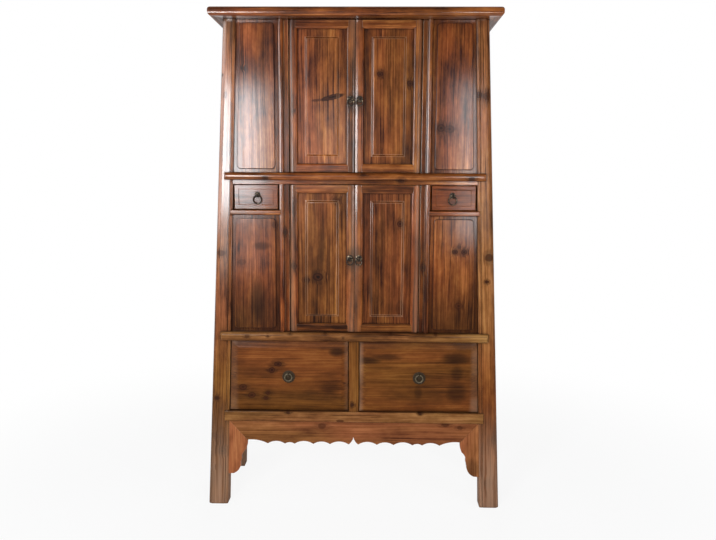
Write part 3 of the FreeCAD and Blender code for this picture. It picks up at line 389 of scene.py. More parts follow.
@dataclass(frozen=True)
class Figure:
    """What the shader knows of a place on a board."""

    streak: Value
    fibre: Value
    band: Value
    blotch: Value
    hue: Value
    mottle: Value
    ring: Value
    crack: Value
    wave: Value
    knot: Value
    heart: Value
    halo: Value


@dataclass(frozen=True)
class LacqueredWood:
    """Old fir under a worn lacquer: streaks, growth rings, knots, and painted shade in the corners and
    creases.
    """

    name: str
    grain: Grain
    tones: Tones
    seed: float
    knots: tuple[Knot, ...] = ()
    middle: float = 0.0
    lean: float = 0.0
    shine: float = 0.55
    rings_per_metre: float = 62.0
    scuffed_below: float = 0.0
    base_tone: float = 0.468
    contrast: float = 0.72
    edge_wear: float = 0.4
    edge_colour: Optional[Colour] = None
    low_tones: Optional[Tones] = None
    low_range: Pair = (0.0, 1.0)
    rubbed_ends: Optional[Pair] = None
    rubbing: float = 1.0
    tinted: float = 0.85
    # Strength of the painted shade that darkens creases.
    dirt: float = 0.55
    faces_side: bool = False
    knot_reach: Optional[Pair] = None
    crevice_size: float = 0.01
    corner_size: float = 0.055

    def material(self) -> bpy.types.Material:
        """Build the finish.

        Returns:
            The material, on Object coordinates.
        """
        material = bpy.data.materials.new(self.name)
        g = Graph(material)
        place = g.node("TexCoord").outputs["Object"]
        axes = g.node("SeparateXYZ", None, {0: place})
        x, y, z = (g.value(axes, axis) for axis in "XYZ")
        figure = self._figure(g, place, x, y, z)
        # Ambient occlusion over a short distance marks creases and gaps; it darkens them below as painted
        # shade.
        crevice = g.ease(g.openness(self.crevice_size), 0.3, 0.9, 1.0, 0.0)
        # Painted shade: ambient occlusion over a wider distance, broken up by noise, darkens the wood
        # towards corners and frames.
        ragged = (figure.blotch - 0.5) * 0.5 + (figure.mottle - 0.5) * 0.4
        corner = g.ease(g.openness(self.corner_size) + ragged, 0.45, 1.0, 1.0, 0.0)
        arris = g.value(g.node("Attribute", {"attribute_name": "worn"}), "Fac")
        worn = arris * (1.0 - crevice) * g.ease(figure.blotch, 0.35, 0.6, 0.25, 0.8)

        tone = self.base_tone + self.contrast * (
            (figure.streak - 0.5) * 0.8
            + (figure.band - 0.5) * 0.6
            + (figure.blotch - 0.5) * 1.2
            + (figure.mottle - 0.5) * 1.2
            + (figure.fibre - 0.5) * 1.1
            - figure.ring * 0.14
            - figure.crack * 0.35
        )
        colour = self._toned(g, self.tones, tone)
        # Other tones blended in towards the bottom, by height; on the lower fixed panels they are painted
        # shade.
        if self.low_tones:
            colour = g.blend(g.ease(z, *self.low_range), self._toned(g, self.low_tones, tone), colour)
        tint = g.blend(g.ease(figure.hue, 0.34, 0.66), OLIVE_TINT, RED_TINT)
        colour = g.blend(self.tinted, colour, tint, "MULTIPLY")
        colour = g.blend(corner * 0.65, colour, self.tones.dark)
        colour = g.blend(figure.halo * 0.5, colour, self.tones.dark)
        colour = g.blend(figure.knot, colour, DARK_MARKS_AND_SHADE)
        colour = g.blend(figure.heart, colour, HEARTWOOD)
        rough = 0.5 - (figure.streak - 0.5) * 0.5 + crevice * 0.25
        coat = g.ease(figure.streak, 0.3, 0.6, 0.6, 1.0) * (1.0 - crevice * 0.8) * (1.0 - figure.knot * 0.6)
        coat = coat * g.ease(z, 0.5, 1.1, 0.2, 1.0)
        if self.scuffed_below:
            low = g.ease(z, 0.3 * self.scuffed_below, 1.6 * self.scuffed_below, 1.0, 0.0)
            scuff = low * g.ease(figure.streak + (figure.fibre - 0.5) * 0.5, 0.2, 0.65)
            colour = g.blend(scuff * 0.8, colour, BARE_WOOD)
            rough = rough + low * 0.22
            coat = coat * (1.0 - low * 0.9)
        if self.rubbed_ends:
            rubbed = g.most(
                *(g.ease(g.math("ABSOLUTE", x - end), 0.012, 0.034, 1.0, 0.0) for end in self.rubbed_ends)
            )
            patchy = g.ease(figure.blotch, 0.35, 0.65, 0.1, 0.5)
            colour = g.blend(rubbed * patchy * self.rubbing, colour, BARE_WOOD)
        colour = g.blend(worn * self.edge_wear, colour, self.edge_colour or self.tones.light)
        # Painted shade: creases darkened towards near-black.
        colour = g.blend(crevice * self.dirt, colour, DARK_MARKS_AND_SHADE)

        height = figure.wave * 1.0 + figure.streak * 0.2 + figure.fibre * 0.05 - figure.ring * 0.05
        height = height - figure.crack * 0.1
        bump = g.node("Bump", None, {"Strength": 1.0, "Distance": 0.001, "Height": height})
        g.surface({
            "Base Color": colour,
            "Roughness": rough,
            "Specular IOR Level": 0.06,
            "Coat Weight": coat * self.shine,
            "Coat Roughness": 0.15,
            "Normal": bump.outputs[0],
        })
        return material

    @staticmethod
    def _toned(g: Graph, tones: Tones, tone: Value) -> Socket:
        """The colour of a tone from 0, dark, to 1, light."""
        stops = [(0.14, tones.dark), (0.5, tones.middle), (0.88, tones.light)]
        return g.node("ValToRGB", {"stops": stops}, {"Fac": tone}).outputs[0]

    def _figure(self, g: Graph, place: Socket, x: Value, y: Value, z: Value) -> Figure:
        """The grain at a place.

        Args:
            g: The graph to add to.
            place: The place on the surface.
            x: Its X.
            y: Its Y.
            z: Its Z.

        Returns:
            Streaks, fibres, growth rings and knots.
        """
        along, side, deep = {
            Grain.ACROSS: (x, z, y),
            Grain.INWARDS: (y, z, x),
            Grain.UPRIGHT: (z, x, y),
        }[self.grain]
        if self.faces_side:
            side, deep = deep, side
        along = along + self.seed
        side = side - self.middle
        if self.lean:
            side = side - self.lean * z
        knot, heart, halo = self._knots(g, place)
        if self.knot_reach:
            shown = g.ease(y, *self.knot_reach, 1.0, 0.0)
            knot, heart, halo = knot * shown, heart * shown, halo * shown
        sway = g.noise(g.vector(side * 4.0, deep * 4.0, along * 1.0)) - 0.5
        bent = side + sway * 0.045 + halo * 0.005
        streak = g.noise(g.vector(bent * 84.0, deep * 84.0, along * 1.5), 5.0, 0.62)
        band = g.noise(g.vector(bent * 15.0, deep * 15.0, along * 0.6), 1.0)
        fibre = g.noise(g.vector(bent * 300.0, deep * 300.0, along * 4.0), 2.0)
        crack = g.ease(g.noise(g.vector(bent * 190.0, deep * 190.0, along * 2.6 + 9.0), 1.0), 0.6, 0.72)
        blotch = g.noise(g.vector(side * 6.0, deep * 6.0, along * 2.2), 3.0, 0.55)
        hue = g.noise(g.vector(side * 7.0, deep * 7.0, along * 1.6 + 31.0), 2.0)
        mottle = g.noise(g.vector(side * 26.0, deep * 26.0, along * 9.0 + 17.0), 4.0, 0.65)
        wave = g.noise(g.vector(side * 13.0, deep * 13.0, along * 1.2), 1.0)
        pith = g.noise(g.vector(0.0, self.seed, along * 0.7)) * 0.09 - 0.01
        spread = g.math("SQRT", bent * bent + (pith + deep * 0.3) ** 2.0)
        phase = g.math("FRACT", spread * self.rings_per_metre + streak * 2.0 + halo * 0.8)
        late = g.ease(phase, 0.3, 0.9) * g.ease(phase, 0.9, 1.0, 1.0, 0.0)
        ring = late * g.ease(band + (blotch - 0.5) * 0.6, 0.35, 0.65, 0.35, 1.0)
        return Figure(streak, fibre, band, blotch, hue, mottle, ring, crack, wave, knot, heart, halo)

    def _knots(self, g: Graph, place: Socket) -> tuple[Value, Value, Value]:
        """Where the knots are.

        Args:
            g: The graph to add to.
            place: The place on the surface.

        Returns:
            How much of a knot's dark patch, of its heart and of the grain around it shows.
        """
        nothing = g.value(g.node("Value"))
        nothing.socket.default_value = 0.0
        if not self.knots:
            return nothing, nothing, nothing
        ripple = g.node("TexNoise", None, {"Vector": place, "Scale": 70.0, "Detail": 2.0})
        ripple = g.vector_math("MULTIPLY_ADD", ripple.outputs["Color"], (0.006,) * 3, (-0.003,) * 3)
        place = g.vector_math("ADD", place, ripple)
        patch, heart, around = nothing, nothing, nothing
        for knot in self.knots:
            turn = (math.cos(knot.tilt), math.sin(knot.tilt))
            half_x, half_z = knot.half_x / MM_PER_M, knot.half_z / MM_PER_M
            wide = self._offset(g, place, knot, (turn[0] / half_x, turn[1] / half_x))
            tall = self._offset(g, place, knot, (-turn[1] / half_z, turn[0] / half_z))
            wide, tall = wide * wide, tall * tall
            away = wide + tall
            if isinstance(knot, Stain):
                patch = g.most(patch, g.ease(away, 0.0, 2.4, knot.depth, 0.0))
                continue
            patch = g.most(patch, g.ease(away, 0.6, 1.5, knot.depth, 0.0))
            heart = g.most(heart, g.ease(away, 0.06, 0.25) * g.ease(away, 0.3, 0.9, 0.45, 0.0))
            if knot.half_x > 2 * knot.half_z:
                continue
            tail = wide * 0.1 + tall * 1.5 if self.grain is Grain.ACROSS else wide * 1.5 + tall * 0.1
            patch = g.most(patch, g.ease(tail, 0.2, 1.3, knot.depth * 0.3, 0.0))
            around = g.most(around, g.ease(away, 0.6, 6.0, knot.depth, 0.0))
        return patch, heart, around

    @staticmethod
    def _offset(g: Graph, place: Socket, knot: Knot, scale: Pair) -> Value:
        """How far a place is from a knot's middle along one of its axes.

        Args:
            g: The graph to add to.
            place: The place on the surface.
            knot: The knot.
            scale: The axis in X and Z, divided by the knot's half size.

        Returns:
            The offset, 1 at the knot's edge.
        """
        sockets = {0: place, 1: (scale[0], 0.0, scale[1])}
        dot = g.value(g.node("VectorMath", {"operation": "DOT_PRODUCT"}, sockets), "Value")
        return dot - (scale[0] * (knot.x / MM_PER_M) + scale[1] * (knot.z / MM_PER_M))


@dataclass(frozen=True)
class AgedMetal:
    """Cast brass gone dark, rubbed bright where fingers touch it."""

    name: str
    patina: Colour
    rubbed: Colour
    rubbing: float = 0.5
    crevice_size: float = 0.004

    def material(self) -> bpy.types.Material:
        """Build the finish.

        Returns:
            The material, on Object coordinates.
        """
        material = bpy.data.materials.new(self.name)
        g = Graph(material)
        place = g.node("TexCoord").outputs["Object"]
        coarse = g.noise(g.vector_math("MULTIPLY", place, (160.0,) * 3), 3.0, 0.6)
        fine = g.noise(g.vector_math("MULTIPLY", place, (800.0,) * 3), 2.0)
        crevice = g.ease(g.openness(self.crevice_size), 0.3, 0.9, 1.0, 0.0)
        rub = g.ease(coarse, 0.62 - 0.3 * self.rubbing, 0.8 - 0.3 * self.rubbing) * (1.0 - crevice)
        colour = g.blend(rub * 0.85, self.patina, self.rubbed)
        # Painted shade: hollows darkened towards near-black by ambient occlusion.
        colour = g.blend(crevice * 0.7, colour, DARK_MARKS_AND_SHADE)
        height = coarse * 0.7 + fine * 0.3
        bump = g.node("Bump", None, {"Strength": 0.5, "Distance": 0.0003, "Height": height})
        g.surface({
            "Base Color": colour,
            "Metallic": 0.35 + rub * 0.6,
            "Roughness": 0.5 - rub * 0.18 + fine * 0.1,
            "Specular IOR Level": 0.15,
            "Normal": bump.outputs[0],
        })
        return material


DARK_BRASS = AgedMetal("dark_brass", srgb(46, 38, 32), srgb(150, 130, 104), 0.35)
GREEN_BRASS = AgedMetal("green_brass", srgb(54, 42, 28), srgb(92, 82, 62), 0.2)
RUBBED_BRASS = AgedMetal("rubbed_brass", srgb(88, 78, 62), srgb(126, 114, 92), 0.5)


@dataclass(frozen=True)
class Crown:
    """An edge on the front towards which a stile or post is rounded off."""

    edge: float
    inwards: int
    front: float
    lean: float = 0.0
    steps: tuple[Pair, ...] = STILE_CROWN


def take(piece: Piece) -> None:
    """Select one object and nothing else.

    Args:
        piece: The object.
    """
    bpy.ops.object.select_all(action="DESELECT")
    piece.select_set(True)
    bpy.context.view_layer.objects.active = piece


def open_mesh() -> None:
    """Open the active piece with all of it selected."""
    bpy.ops.object.mode_set(mode="EDIT")
    bpy.ops.mesh.select_all(action="SELECT")


def close_mesh() -> None:
    """Leave the active piece."""
    bpy.ops.object.mode_set(mode="OBJECT")


def placed(name: str) -> Piece:
    """Name the new primitive and put its place into its mesh.

    Args:
        name: The piece's name.

    Returns:
        The piece.
    """
    piece = bpy.context.active_object
    piece.name = name
    piece.data.name = name
    take(piece)
    bpy.ops.object.transform_apply(location=True, rotation=True, scale=True)
    return piece


def spun(
    name: str, start: Vector, turned: Place, radius: float, centre: Vector, axis: Place, steps: int
) -> Piece:
    """A round bar bent to a closed loop.

    Args:
        name: The piece's name.
        start: The middle of the bar's first section.
        turned: How that section is turned.
        radius: The bar's radius.
        centre: The middle of the loop.
        axis: The loop's axis.
        steps: Sections around the loop.

    Returns:
        The loop.
    """
    bpy.ops.mesh.primitive_circle_add(vertices=WIRE_SIDES, radius=radius, location=start, rotation=turned)
    piece = placed(name)
    open_mesh()
    bpy.ops.mesh.spin(steps=steps, angle=2 * math.pi, center=centre, axis=axis)
    bpy.ops.mesh.select_all(action="SELECT")
    bpy.ops.mesh.remove_doubles(threshold=SLIVER)
    bpy.ops.mesh.normals_make_consistent(inside=False)
    close_mesh()
    return piece


def ease_edges(piece: Piece, arris: float, segments: int = 2, crisp: bool = False) -> None:
    """Ease a piece's sharp edges, note where they are for the wear on them, and shade it.

    Args:
        piece: The piece.
        arris: How wide the eased edge is, in metres.
        segments: Steps across it.
        crisp: Whether its slight angles, such as a raised field's, stay sharp.
    """
    take(piece)
    mesh = piece.data
    mesh.materials.clear()
    for _ in range(2):
        mesh.materials.append(None)
    if crisp:
        open_mesh()
        bpy.ops.mesh.select_all(action="DESELECT")
        bpy.ops.mesh.select_mode(type="EDGE")
        bpy.ops.mesh.edges_select_sharp(sharpness=CRISP_ANGLE)
        bpy.ops.mesh.mark_sharp()
        close_mesh()
    bevel = piece.modifiers.new("arris", "BEVEL")
    bevel.width = arris
    bevel.segments = segments
    bevel.limit_method = "ANGLE"
    bevel.angle_limit = EDGE_ANGLE
    bevel.material = 1
    bevel.mark_sharp = False
    bpy.ops.object.modifier_apply(modifier=bevel.name)
    open_mesh()
    bpy.ops.mesh.dissolve_degenerate(threshold=SLIVER)
    close_mesh()
    eased = [float(face.material_index == 1) for face in mesh.polygons]
    mesh.polygons.foreach_set("material_index", [0] * len(eased))
    mesh.materials.clear()
    mesh.attributes.new("worn", "FLOAT", "FACE").data.foreach_set("value", eased)
    bpy.ops.object.shade_smooth_by_angle(angle=SMOOTH_ANGLE, keep_sharp_edges=True)
    flats = piece.modifiers.new("flats", "WEIGHTED_NORMAL")
    flats.keep_sharp = True
    flats.weight = 100
    bpy.ops.object.modifier_apply(modifier=flats.name)


def round_off(piece: Piece, crown: Crown) -> None:
    """Round off the front of a stile or post towards one of its edges.

    Args:
        piece: The piece.
        crown: Where it is rounded off.
    """
    take(piece)
    open_mesh()
    bpy.ops.mesh.select_mode(type="VERT")
    for step, _ in crown.steps[1:]:
        bpy.ops.mesh.select_all(action="SELECT")
        line = crown.edge + crown.inwards * step
        bpy.ops.mesh.bisect(plane_co=(line, 0, 0), plane_no=(1, 0, -crown.lean))
    for step, drop in crown.steps:
        bpy.ops.mesh.select_all(action="DESELECT")
        close_mesh()
        for vertex in piece.data.vertices:
            aside = abs(vertex.co.x - crown.lean * vertex.co.z - crown.edge - crown.inwards * step)
            vertex.select = max(aside, abs(vertex.co.y - crown.front)) < ON_PLANE
        bpy.ops.object.mode_set(mode="EDIT")
        bpy.ops.transform.translate(value=(0, drop, 0))
    close_mesh()


def eased_copy(node: Piece, arris: float, crisp: bool, crown: Optional[Crown] = None) -> Piece:
    """A copy of a sawn board with its edges eased by plane and wear.

    Args:
        node: The board.
        arris: How wide the eased edge is, in metres.
        crisp: Whether its slight angles stay sharp.
        crown: Where its front is rounded off.

    Returns:
        The eased board, which stands for the sawn one.
    """
    take(node)
    bpy.ops.object.duplicate()
    piece = bpy.context.active_object
    piece.name = f"{node.name}_eased"
    piece.data.name = piece.name
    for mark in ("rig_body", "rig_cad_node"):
        del piece[mark]
    open_mesh()
    bpy.ops.mesh.customdata_custom_splitnormals_clear()
    bpy.ops.mesh.remove_doubles(threshold=MERGE_WITHIN)
    bpy.ops.mesh.dissolve_limited(angle_limit=FLAT_ANGLE)
    close_mesh()
    if crown:
        round_off(piece, crown)
    ease_edges(piece, arris, crisp=crisp)
    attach(piece, node["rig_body"])
    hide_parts(node.name)
    return piece


def dress(piece: Piece, material: bpy.types.Material) -> None:
    """Give all faces of a piece one material.

    Args:
        piece: The piece.
        material: The material.
    """
    if piece.data.materials:
        for slot in piece.material_slots:
            slot.material = material
    else:
        piece.data.materials.append(material)


@dataclass
class RingPull:
    """A ring that hangs from a cotter pin's eye in front of a turned plate."""

    owner: str
    eye: Vector
    plate_radius: float
    plate_rise: float
    ring_radius: float
    bar_radius: float
    metal: AgedMetal
    ring_metal: AgedMetal
    back: float
    eye_out: float = 0.0098
    eye_radius: float = 0.0046
    eye_bar: float = 0.0014
    boss_radius: float = 0.0055
    shank_half: float = 0.0016
    prong_half: float = 0.011
    prong_thick: float = 0.0014
    plate_edge: float = 0.0007
    boss_edge: float = 0.0026
    turned_edge: float = 0.0028
    rim_share: float = 0.14
    knob_radius: float = 0.0058
    disc_sides: int = 48
    eye_steps: int = 26
    ring_steps: int = 48
    disc_arris: float = 0.0002
    wire_arris: float = 0.0001
    bar_arris: float = 0.0003

    def _disc(self, name: str, radius: float, rise: float, edge: float, steps: Sequence[Pair]) -> Piece:
        """Turn a disc that lies on the wood.

        Args:
            name: The piece's name.
            radius: Its radius.
            rise: How far its middle is above the eye.
            edge: The height of its outer edge.
            steps: How far in and out each turned step goes, from the edge to the middle.

        Returns:
            The disc.
        """
        middle = (self.eye.x, self.eye.y + self.eye_out, self.eye.z + rise)
        bpy.ops.mesh.primitive_circle_add(
            vertices=self.disc_sides, radius=radius, fill_type="NGON", location=middle, rotation=TO_FRONT
        )
        disc = placed(name)
        open_mesh()
        bpy.ops.mesh.extrude_region_move(TRANSFORM_OT_translate={"value": (0, -edge, 0)})
        for thickness, depth in steps:
            bpy.ops.mesh.inset(thickness=thickness, depth=depth, use_even_offset=True)
        bpy.ops.mesh.select_all(action="SELECT")
        bpy.ops.mesh.normals_make_consistent(inside=False)
        close_mesh()
        ease_edges(disc, self.disc_arris)
        return disc

    def build_plate(self) -> Piece:
        """Turn the plate and the boss, bend the cotter pin and join them.

        Returns:
            The plate with its pin.
        """
        rim = self.rim_share * self.plate_radius
        slope = self.plate_radius - self.turned_edge - rim - self.knob_radius
        steps = (
            (0.0012, 0.0006), (rim, 0.0001), (0.0008, -0.0005), (0.0008, 0.0005),
            (slope * 0.6, 0.0002), (slope * 0.4, 0.0003), (0.0007, 0.0007), (0.0012, 0.0004),
            (0.0016, 0.0002),
        )
        name = f"{self.owner}_rosette"
        plate = self._disc(name, self.plate_radius, self.plate_rise, self.plate_edge, steps)
        steps = ((0.0006, 0.0005), (0.0012, 0.0004))
        boss = self._disc(f"{self.owner}_boss", self.boss_radius, 0.0, self.boss_edge, steps)
        top = self.eye + Vector((0, 0, self.eye_radius))
        name = f"{self.owner}_eye"
        loop = spun(name, top, TO_FRONT, self.eye_bar, self.eye, (1, 0, 0), self.eye_steps)
        ease_edges(loop, self.wire_arris, 1)
        start, end = self.eye.y + self.eye_radius, self.back + self.prong_thick / 2
        square = 2 * self.shank_half
        bars = (
            ("shank", (start + end) / 2, (square, end - start, square)),
            ("prongs", end, (square, self.prong_thick, 2 * self.prong_half)),
        )
        parts = [boss, loop, *(self._bar(*bar) for bar in bars)]
        take(plate)
        for part in parts:
            part.select_set(True)
        bpy.ops.object.join()
        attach(plate, self.owner)
        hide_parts(f"{self.owner}_pull_plate")
        return plate

    def _bar(self, name: str, y: float, size: Place) -> Piece:
        """A hammered square bar behind the eye.

        Args:
            name: What it is.
            y: The Y of its middle.
            size: Its size along X, Y and Z.

        Returns:
            The bar.
        """
        bpy.ops.mesh.primitive_cube_add(size=1.0, location=(self.eye.x, y, self.eye.z), scale=size)
        bar = placed(f"{self.owner}_{name}")
        open_mesh()
        bpy.ops.mesh.subdivide(number_cuts=1)
        close_mesh()
        ease_edges(bar, self.bar_arris)
        return bar

    def build_ring(self) -> Piece:
        """Bend the ring through the eye.

        Returns:
            The ring.
        """
        centre = self.eye - Vector((0, 0, self.ring_radius))
        name = f"{self.owner}_ring_cast"
        ring = spun(name, self.eye, TO_SIDE, self.bar_radius, centre, (0, 1, 0), self.ring_steps)
        ease_edges(ring, self.wire_arris, 1)
        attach(ring, f"{self.owner}_ring")
        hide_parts(f"{self.owner}_pull_ring")
        return ring

    def build(self) -> None:
        """Make the pull and dress it."""
        for piece, metal in ((self.build_plate(), self.metal), (self.build_ring(), self.ring_metal)):
            dress(piece, bpy.data.materials.get(metal.name) or metal.material())
            LOG.info("made %s", piece.name)


@dataclass
class Board:
    """One node of the cabinet's wood: its name, finish and eased edge."""

    node: str
    finish: LacqueredWood
    arris: float = 0.0016
    crisp: bool = False
    eased: bool = True
    slot: str = "lacquered_wood"
    crown: Optional[Crown] = None

    def build(self, nodes: Nodes) -> Piece:
        """Ease the board's edges where it shows, and dress it.

        Args:
            nodes: The boards as they are sawn, by name.

        Returns:
            The finished board.
        """
        piece = nodes[self.node]
        if self.eased:
            piece = eased_copy(piece, self.arris, self.crisp, self.crown)
        dress(piece, self.finish.material())
        LOG.info("made %s", piece.name)
        return piece


@dataclass
class Joinery:
    """A part of the cabinet that is made of boards."""

    nodes: Nodes

    def board(self, node: str, grain: Grain, tones: Tones, seed: float, **more: Any) -> None:
        """Make one board.

        Args:
            node: Its name.
            grain: The way its fibres run.
            tones: Its tones.
            seed: What makes its pattern its own.
            more: Other fields of the board or of its finish.
        """
        shape = {key: more.pop(key) for key in ("arris", "crisp", "eased", "slot", "crown") if key in more}
        finish = LacqueredWood(f"{node}_wood", grain, tones, seed, marks(node), **more)
        Board(node, finish, **shape).build(self.nodes)


@dataclass
class Case(Joinery):
    """The standing frame with all that is fixed to it."""

    post_lean: float = 0.0397
    post_foot: float = 0.5665
    post_inside: float = 0.526
    inside_lean: float = 0.032045
    post_front: float = -0.215
    panel_middle: float = 0.39

    def build(self) -> None:
        """Make every board."""
        self._make_posts()
        self._make_front()
        self._make_cap()
        self._make_sides_and_back()

    def _make_posts(self) -> None:
        """Make the four leaning posts."""
        plans = (
            ("front_left", 5.3, BROWN_FIR, 0.85), ("front_right", 7.7, DEEP_FIR, 0.22),
            ("back_left", -1.7, BROWN_FIR, 0.4), ("back_right", 1.7, BROWN_FIR, 0.4),
        )
        for place, seed, low_tones, shine in plans:
            sign = -1 if "left" in place else 1
            edge, lean = sign * self.post_inside, -sign * self.inside_lean
            inside = Crown(edge, sign, self.post_front, lean, POST_CROWN)
            self.board(
                f"{place}_post", Grain.UPRIGHT, WORN_FIR, seed, middle=sign * self.post_foot,
                lean=-sign * self.post_lean, scuffed_below=0.3, low_tones=low_tones, low_range=(0.5, 0.95),
                shine=shine, contrast=0.62, crown=inside if "front" in place else None,
                knot_reach=(self.post_front + 0.003, -0.19),
            )

    def _make_front(self) -> None:
        """Make rails, mullions, fixed panels, apron and spandrels."""
        self.board("mid_rail", Grain.ACROSS, RED_FIR, 3.1, middle=1.357, shine=0.6)
        self.board("lower_rail", Grain.ACROSS, RAIL_FIR, 5.3, middle=0.72, shine=0.14, dirt=0.2)
        self.board("bottom_rail", Grain.ACROSS, RAIL_FIR, 7.9, middle=0.384, shine=0.3, dirt=0.2)
        self.board("small_drawer_rails", Grain.ACROSS, RED_FIR, 9.4, middle=1.22)
        self.board(
            "mullions", Grain.UPRIGHT, RED_FIR, 11.2, shine=1.0, arris=0.004, edge_wear=0.8,
            edge_colour=RUBBED_EDGE,
        )
        self.board(
            "large_drawer_divider", Grain.UPRIGHT, BROWN_FIR, 13.6, shine=0.4, dirt=0.2, contrast=0.5
        )
        self.board(
            "upper_fixed_panels", Grain.UPRIGHT, RED_FIR, 15.8, middle=self.panel_middle,
            edge_wear=0.75, edge_colour=SCORED_LINE,
        )
        # Darker tones towards the bottom of the lower panels: painted shade, for the light falling off
        # lower down.
        self.board(
            "lower_fixed_panels", Grain.UPRIGHT, RED_FIR, 18.3, middle=self.panel_middle,
            low_tones=DARK_FIR, low_range=(0.78, 1.1), edge_wear=0.5, edge_colour=SCORED_LINE,
        )
        self.board("apron", Grain.ACROSS, APRON_FIR, 21.5, middle=0.32, shine=0.25, contrast=0.5)
        self.board("spandrels", Grain.UPRIGHT, ORANGE_FIR, 23.9, middle=0.48, shine=0.35, contrast=0.5)

    def _make_cap(self) -> None:
        """Make the members of the cap."""
        self.board("cap_front_rail", Grain.ACROSS, RED_FIR, 26.3, middle=1.98, shine=0.9)
        self.board("cap_end_rails", Grain.INWARDS, RED_FIR, 28.1, middle=1.98, shine=0.25)
        self.board(
            "cap_back_rail", Grain.ACROSS, WORN_FIR, 30.7, middle=1.98, shine=0.15, slot="inner_wood"
        )
        self.board("cap_panel", Grain.ACROSS, WORN_FIR, 33.2, shine=0.1, slot="inner_wood")

    def _make_sides_and_back(self) -> None:
        """Make what shows from the sides, from behind and when the doors stand open."""
        self.board("side_rails", Grain.INWARDS, WORN_FIR, 35.4, middle=1.0, shine=0.35)
        self.board(
            "side_panels", Grain.UPRIGHT, BROWN_FIR, 37.7, shine=0.35, faces_side=True, slot="inner_wood"
        )
        inner = {"shine": 0.05, "tinted": 0.3, "slot": "inner_wood"}
        self.board("back_rails", Grain.ACROSS, DRY_FIR, 40.2, middle=1.0, **inner)
        self.board("back_panels", Grain.UPRIGHT, DRY_FIR, 42.6, **inner)
        self.board("deck_boards", Grain.ACROSS, DRY_FIR, 44.9, eased=False, **inner)
        self.board("runners_and_bearers", Grain.INWARDS, DRY_FIR, 47.1, eased=False, **inner)


@dataclass
class Door(Joinery):
    """A pivot door: moulded stiles and rails around a floating panel, with its pull."""

    tier: Tier
    side: Side
    seed: float
    tones: Tones
    panel_middle: float = 0.13
    panel_arris: float = 0.0014
    frame_arris: float = 0.0018
    meeting_edge: float = 0.001
    rubbed_lines: Pair = (0.0, 0.262)
    front: float = -0.209
    pull_in: float = 0.0175
    upper_pull: float = 1.664
    lower_pull: float = 1.040
    eye_y: float = -0.2188
    back: float = -0.181

    @property
    def name(self) -> str:
        """The name of the door's body."""
        return f"{self.tier.value}_{self.side.value}_door"

    def build(self) -> None:
        """Make the door's boards and its pull."""
        upper = self.tier is Tier.UPPER
        middle = self.side.sign * self.panel_middle
        rubbed = tuple(self.side.sign * line for line in self.rubbed_lines)
        crown = Crown(self.side.sign * self.meeting_edge, self.side.sign, self.front)
        plans = (
            ("stiles", Grain.UPRIGHT, RED_FIR, 0.0, crown),
            # Lower rails take deeper tones: painted shade, for the light falling off lower down.
            ("rails", Grain.ACROSS, RED_FIR if upper else DEEP_FIR, 1.0, None),
            ("panel", Grain.UPRIGHT, self.tones, middle, None),
        )
        for step, (piece, grain, tones, centre, crown) in enumerate(plans):
            crisp = piece == "panel"
            self.board(
                f"{self.name}_{piece}", grain, tones, self.seed + 1.3 * step, middle=centre, shine=0.6,
                edge_wear=0.4 if crisp else 0.3, edge_colour=RUBBED_EDGE,
                rubbed_ends=rubbed if piece == "stiles" else None, rubbing=0.45 if upper else 0.7,
                arris=self.panel_arris if crisp else self.frame_arris, crisp=crisp, crown=crown,
            )
        height = self.upper_pull if upper else self.lower_pull
        RingPull(
            self.name, eye=Vector((self.side.sign * self.pull_in, self.eye_y, height)),
            plate_radius=0.0135, plate_rise=0.0, ring_radius=0.0128, bar_radius=0.0022,
            metal=DARK_BRASS, ring_metal=DARK_BRASS, back=self.back,
        ).build()


@dataclass
class Drawer(Joinery):
    """A drawer: its front, its box and its pull."""

    size: DrawerSize
    side: Side
    seed: float
    shine: float
    small_height: float = 1.2825
    large_height: float = 0.5535
    large_ends: Pair = (0.012, 0.502)

    @property
    def name(self) -> str:
        """The name of the drawer's body."""
        return f"{self.size.value}_{self.side.value}_drawer"

    def build(self) -> None:
        """Make the drawer's boards and its pull."""
        small = self.size is DrawerSize.SMALL
        sign = self.side.sign
        self.board(
            f"{self.name}_front", Grain.ACROSS, RED_FIR if small else BROWN_FIR, self.seed, crisp=True,
            middle=self.small_height if small else self.large_height, contrast=0.55 if small else 0.46,
            shine=self.shine, dirt=0.15,
            rubbed_ends=None if small else tuple(sign * end for end in self.large_ends),
        )
        self.board(
            f"{self.name}_box", Grain.INWARDS, DRY_FIR, self.seed + 2.9, shine=0.05, tinted=0.3,
            eased=False, slot="inner_wood",
        )
        if small:
            pull = RingPull(
                self.name, eye=Vector((sign * 0.386, -0.2198, 1.288)), plate_radius=0.012,
                plate_rise=0.004, ring_radius=0.016, bar_radius=0.0023, metal=DARK_BRASS,
                ring_metal=DARK_BRASS, back=-0.190,
            )
        else:
            pull = RingPull(
                self.name, eye=Vector((sign * 0.267, -0.2208, 0.564)), plate_radius=0.026,
                plate_rise=-0.014, ring_radius=0.0145, bar_radius=0.0026, metal=GREEN_BRASS,
                ring_metal=RUBBED_BRASS, back=-0.189,
            )
        pull.build()


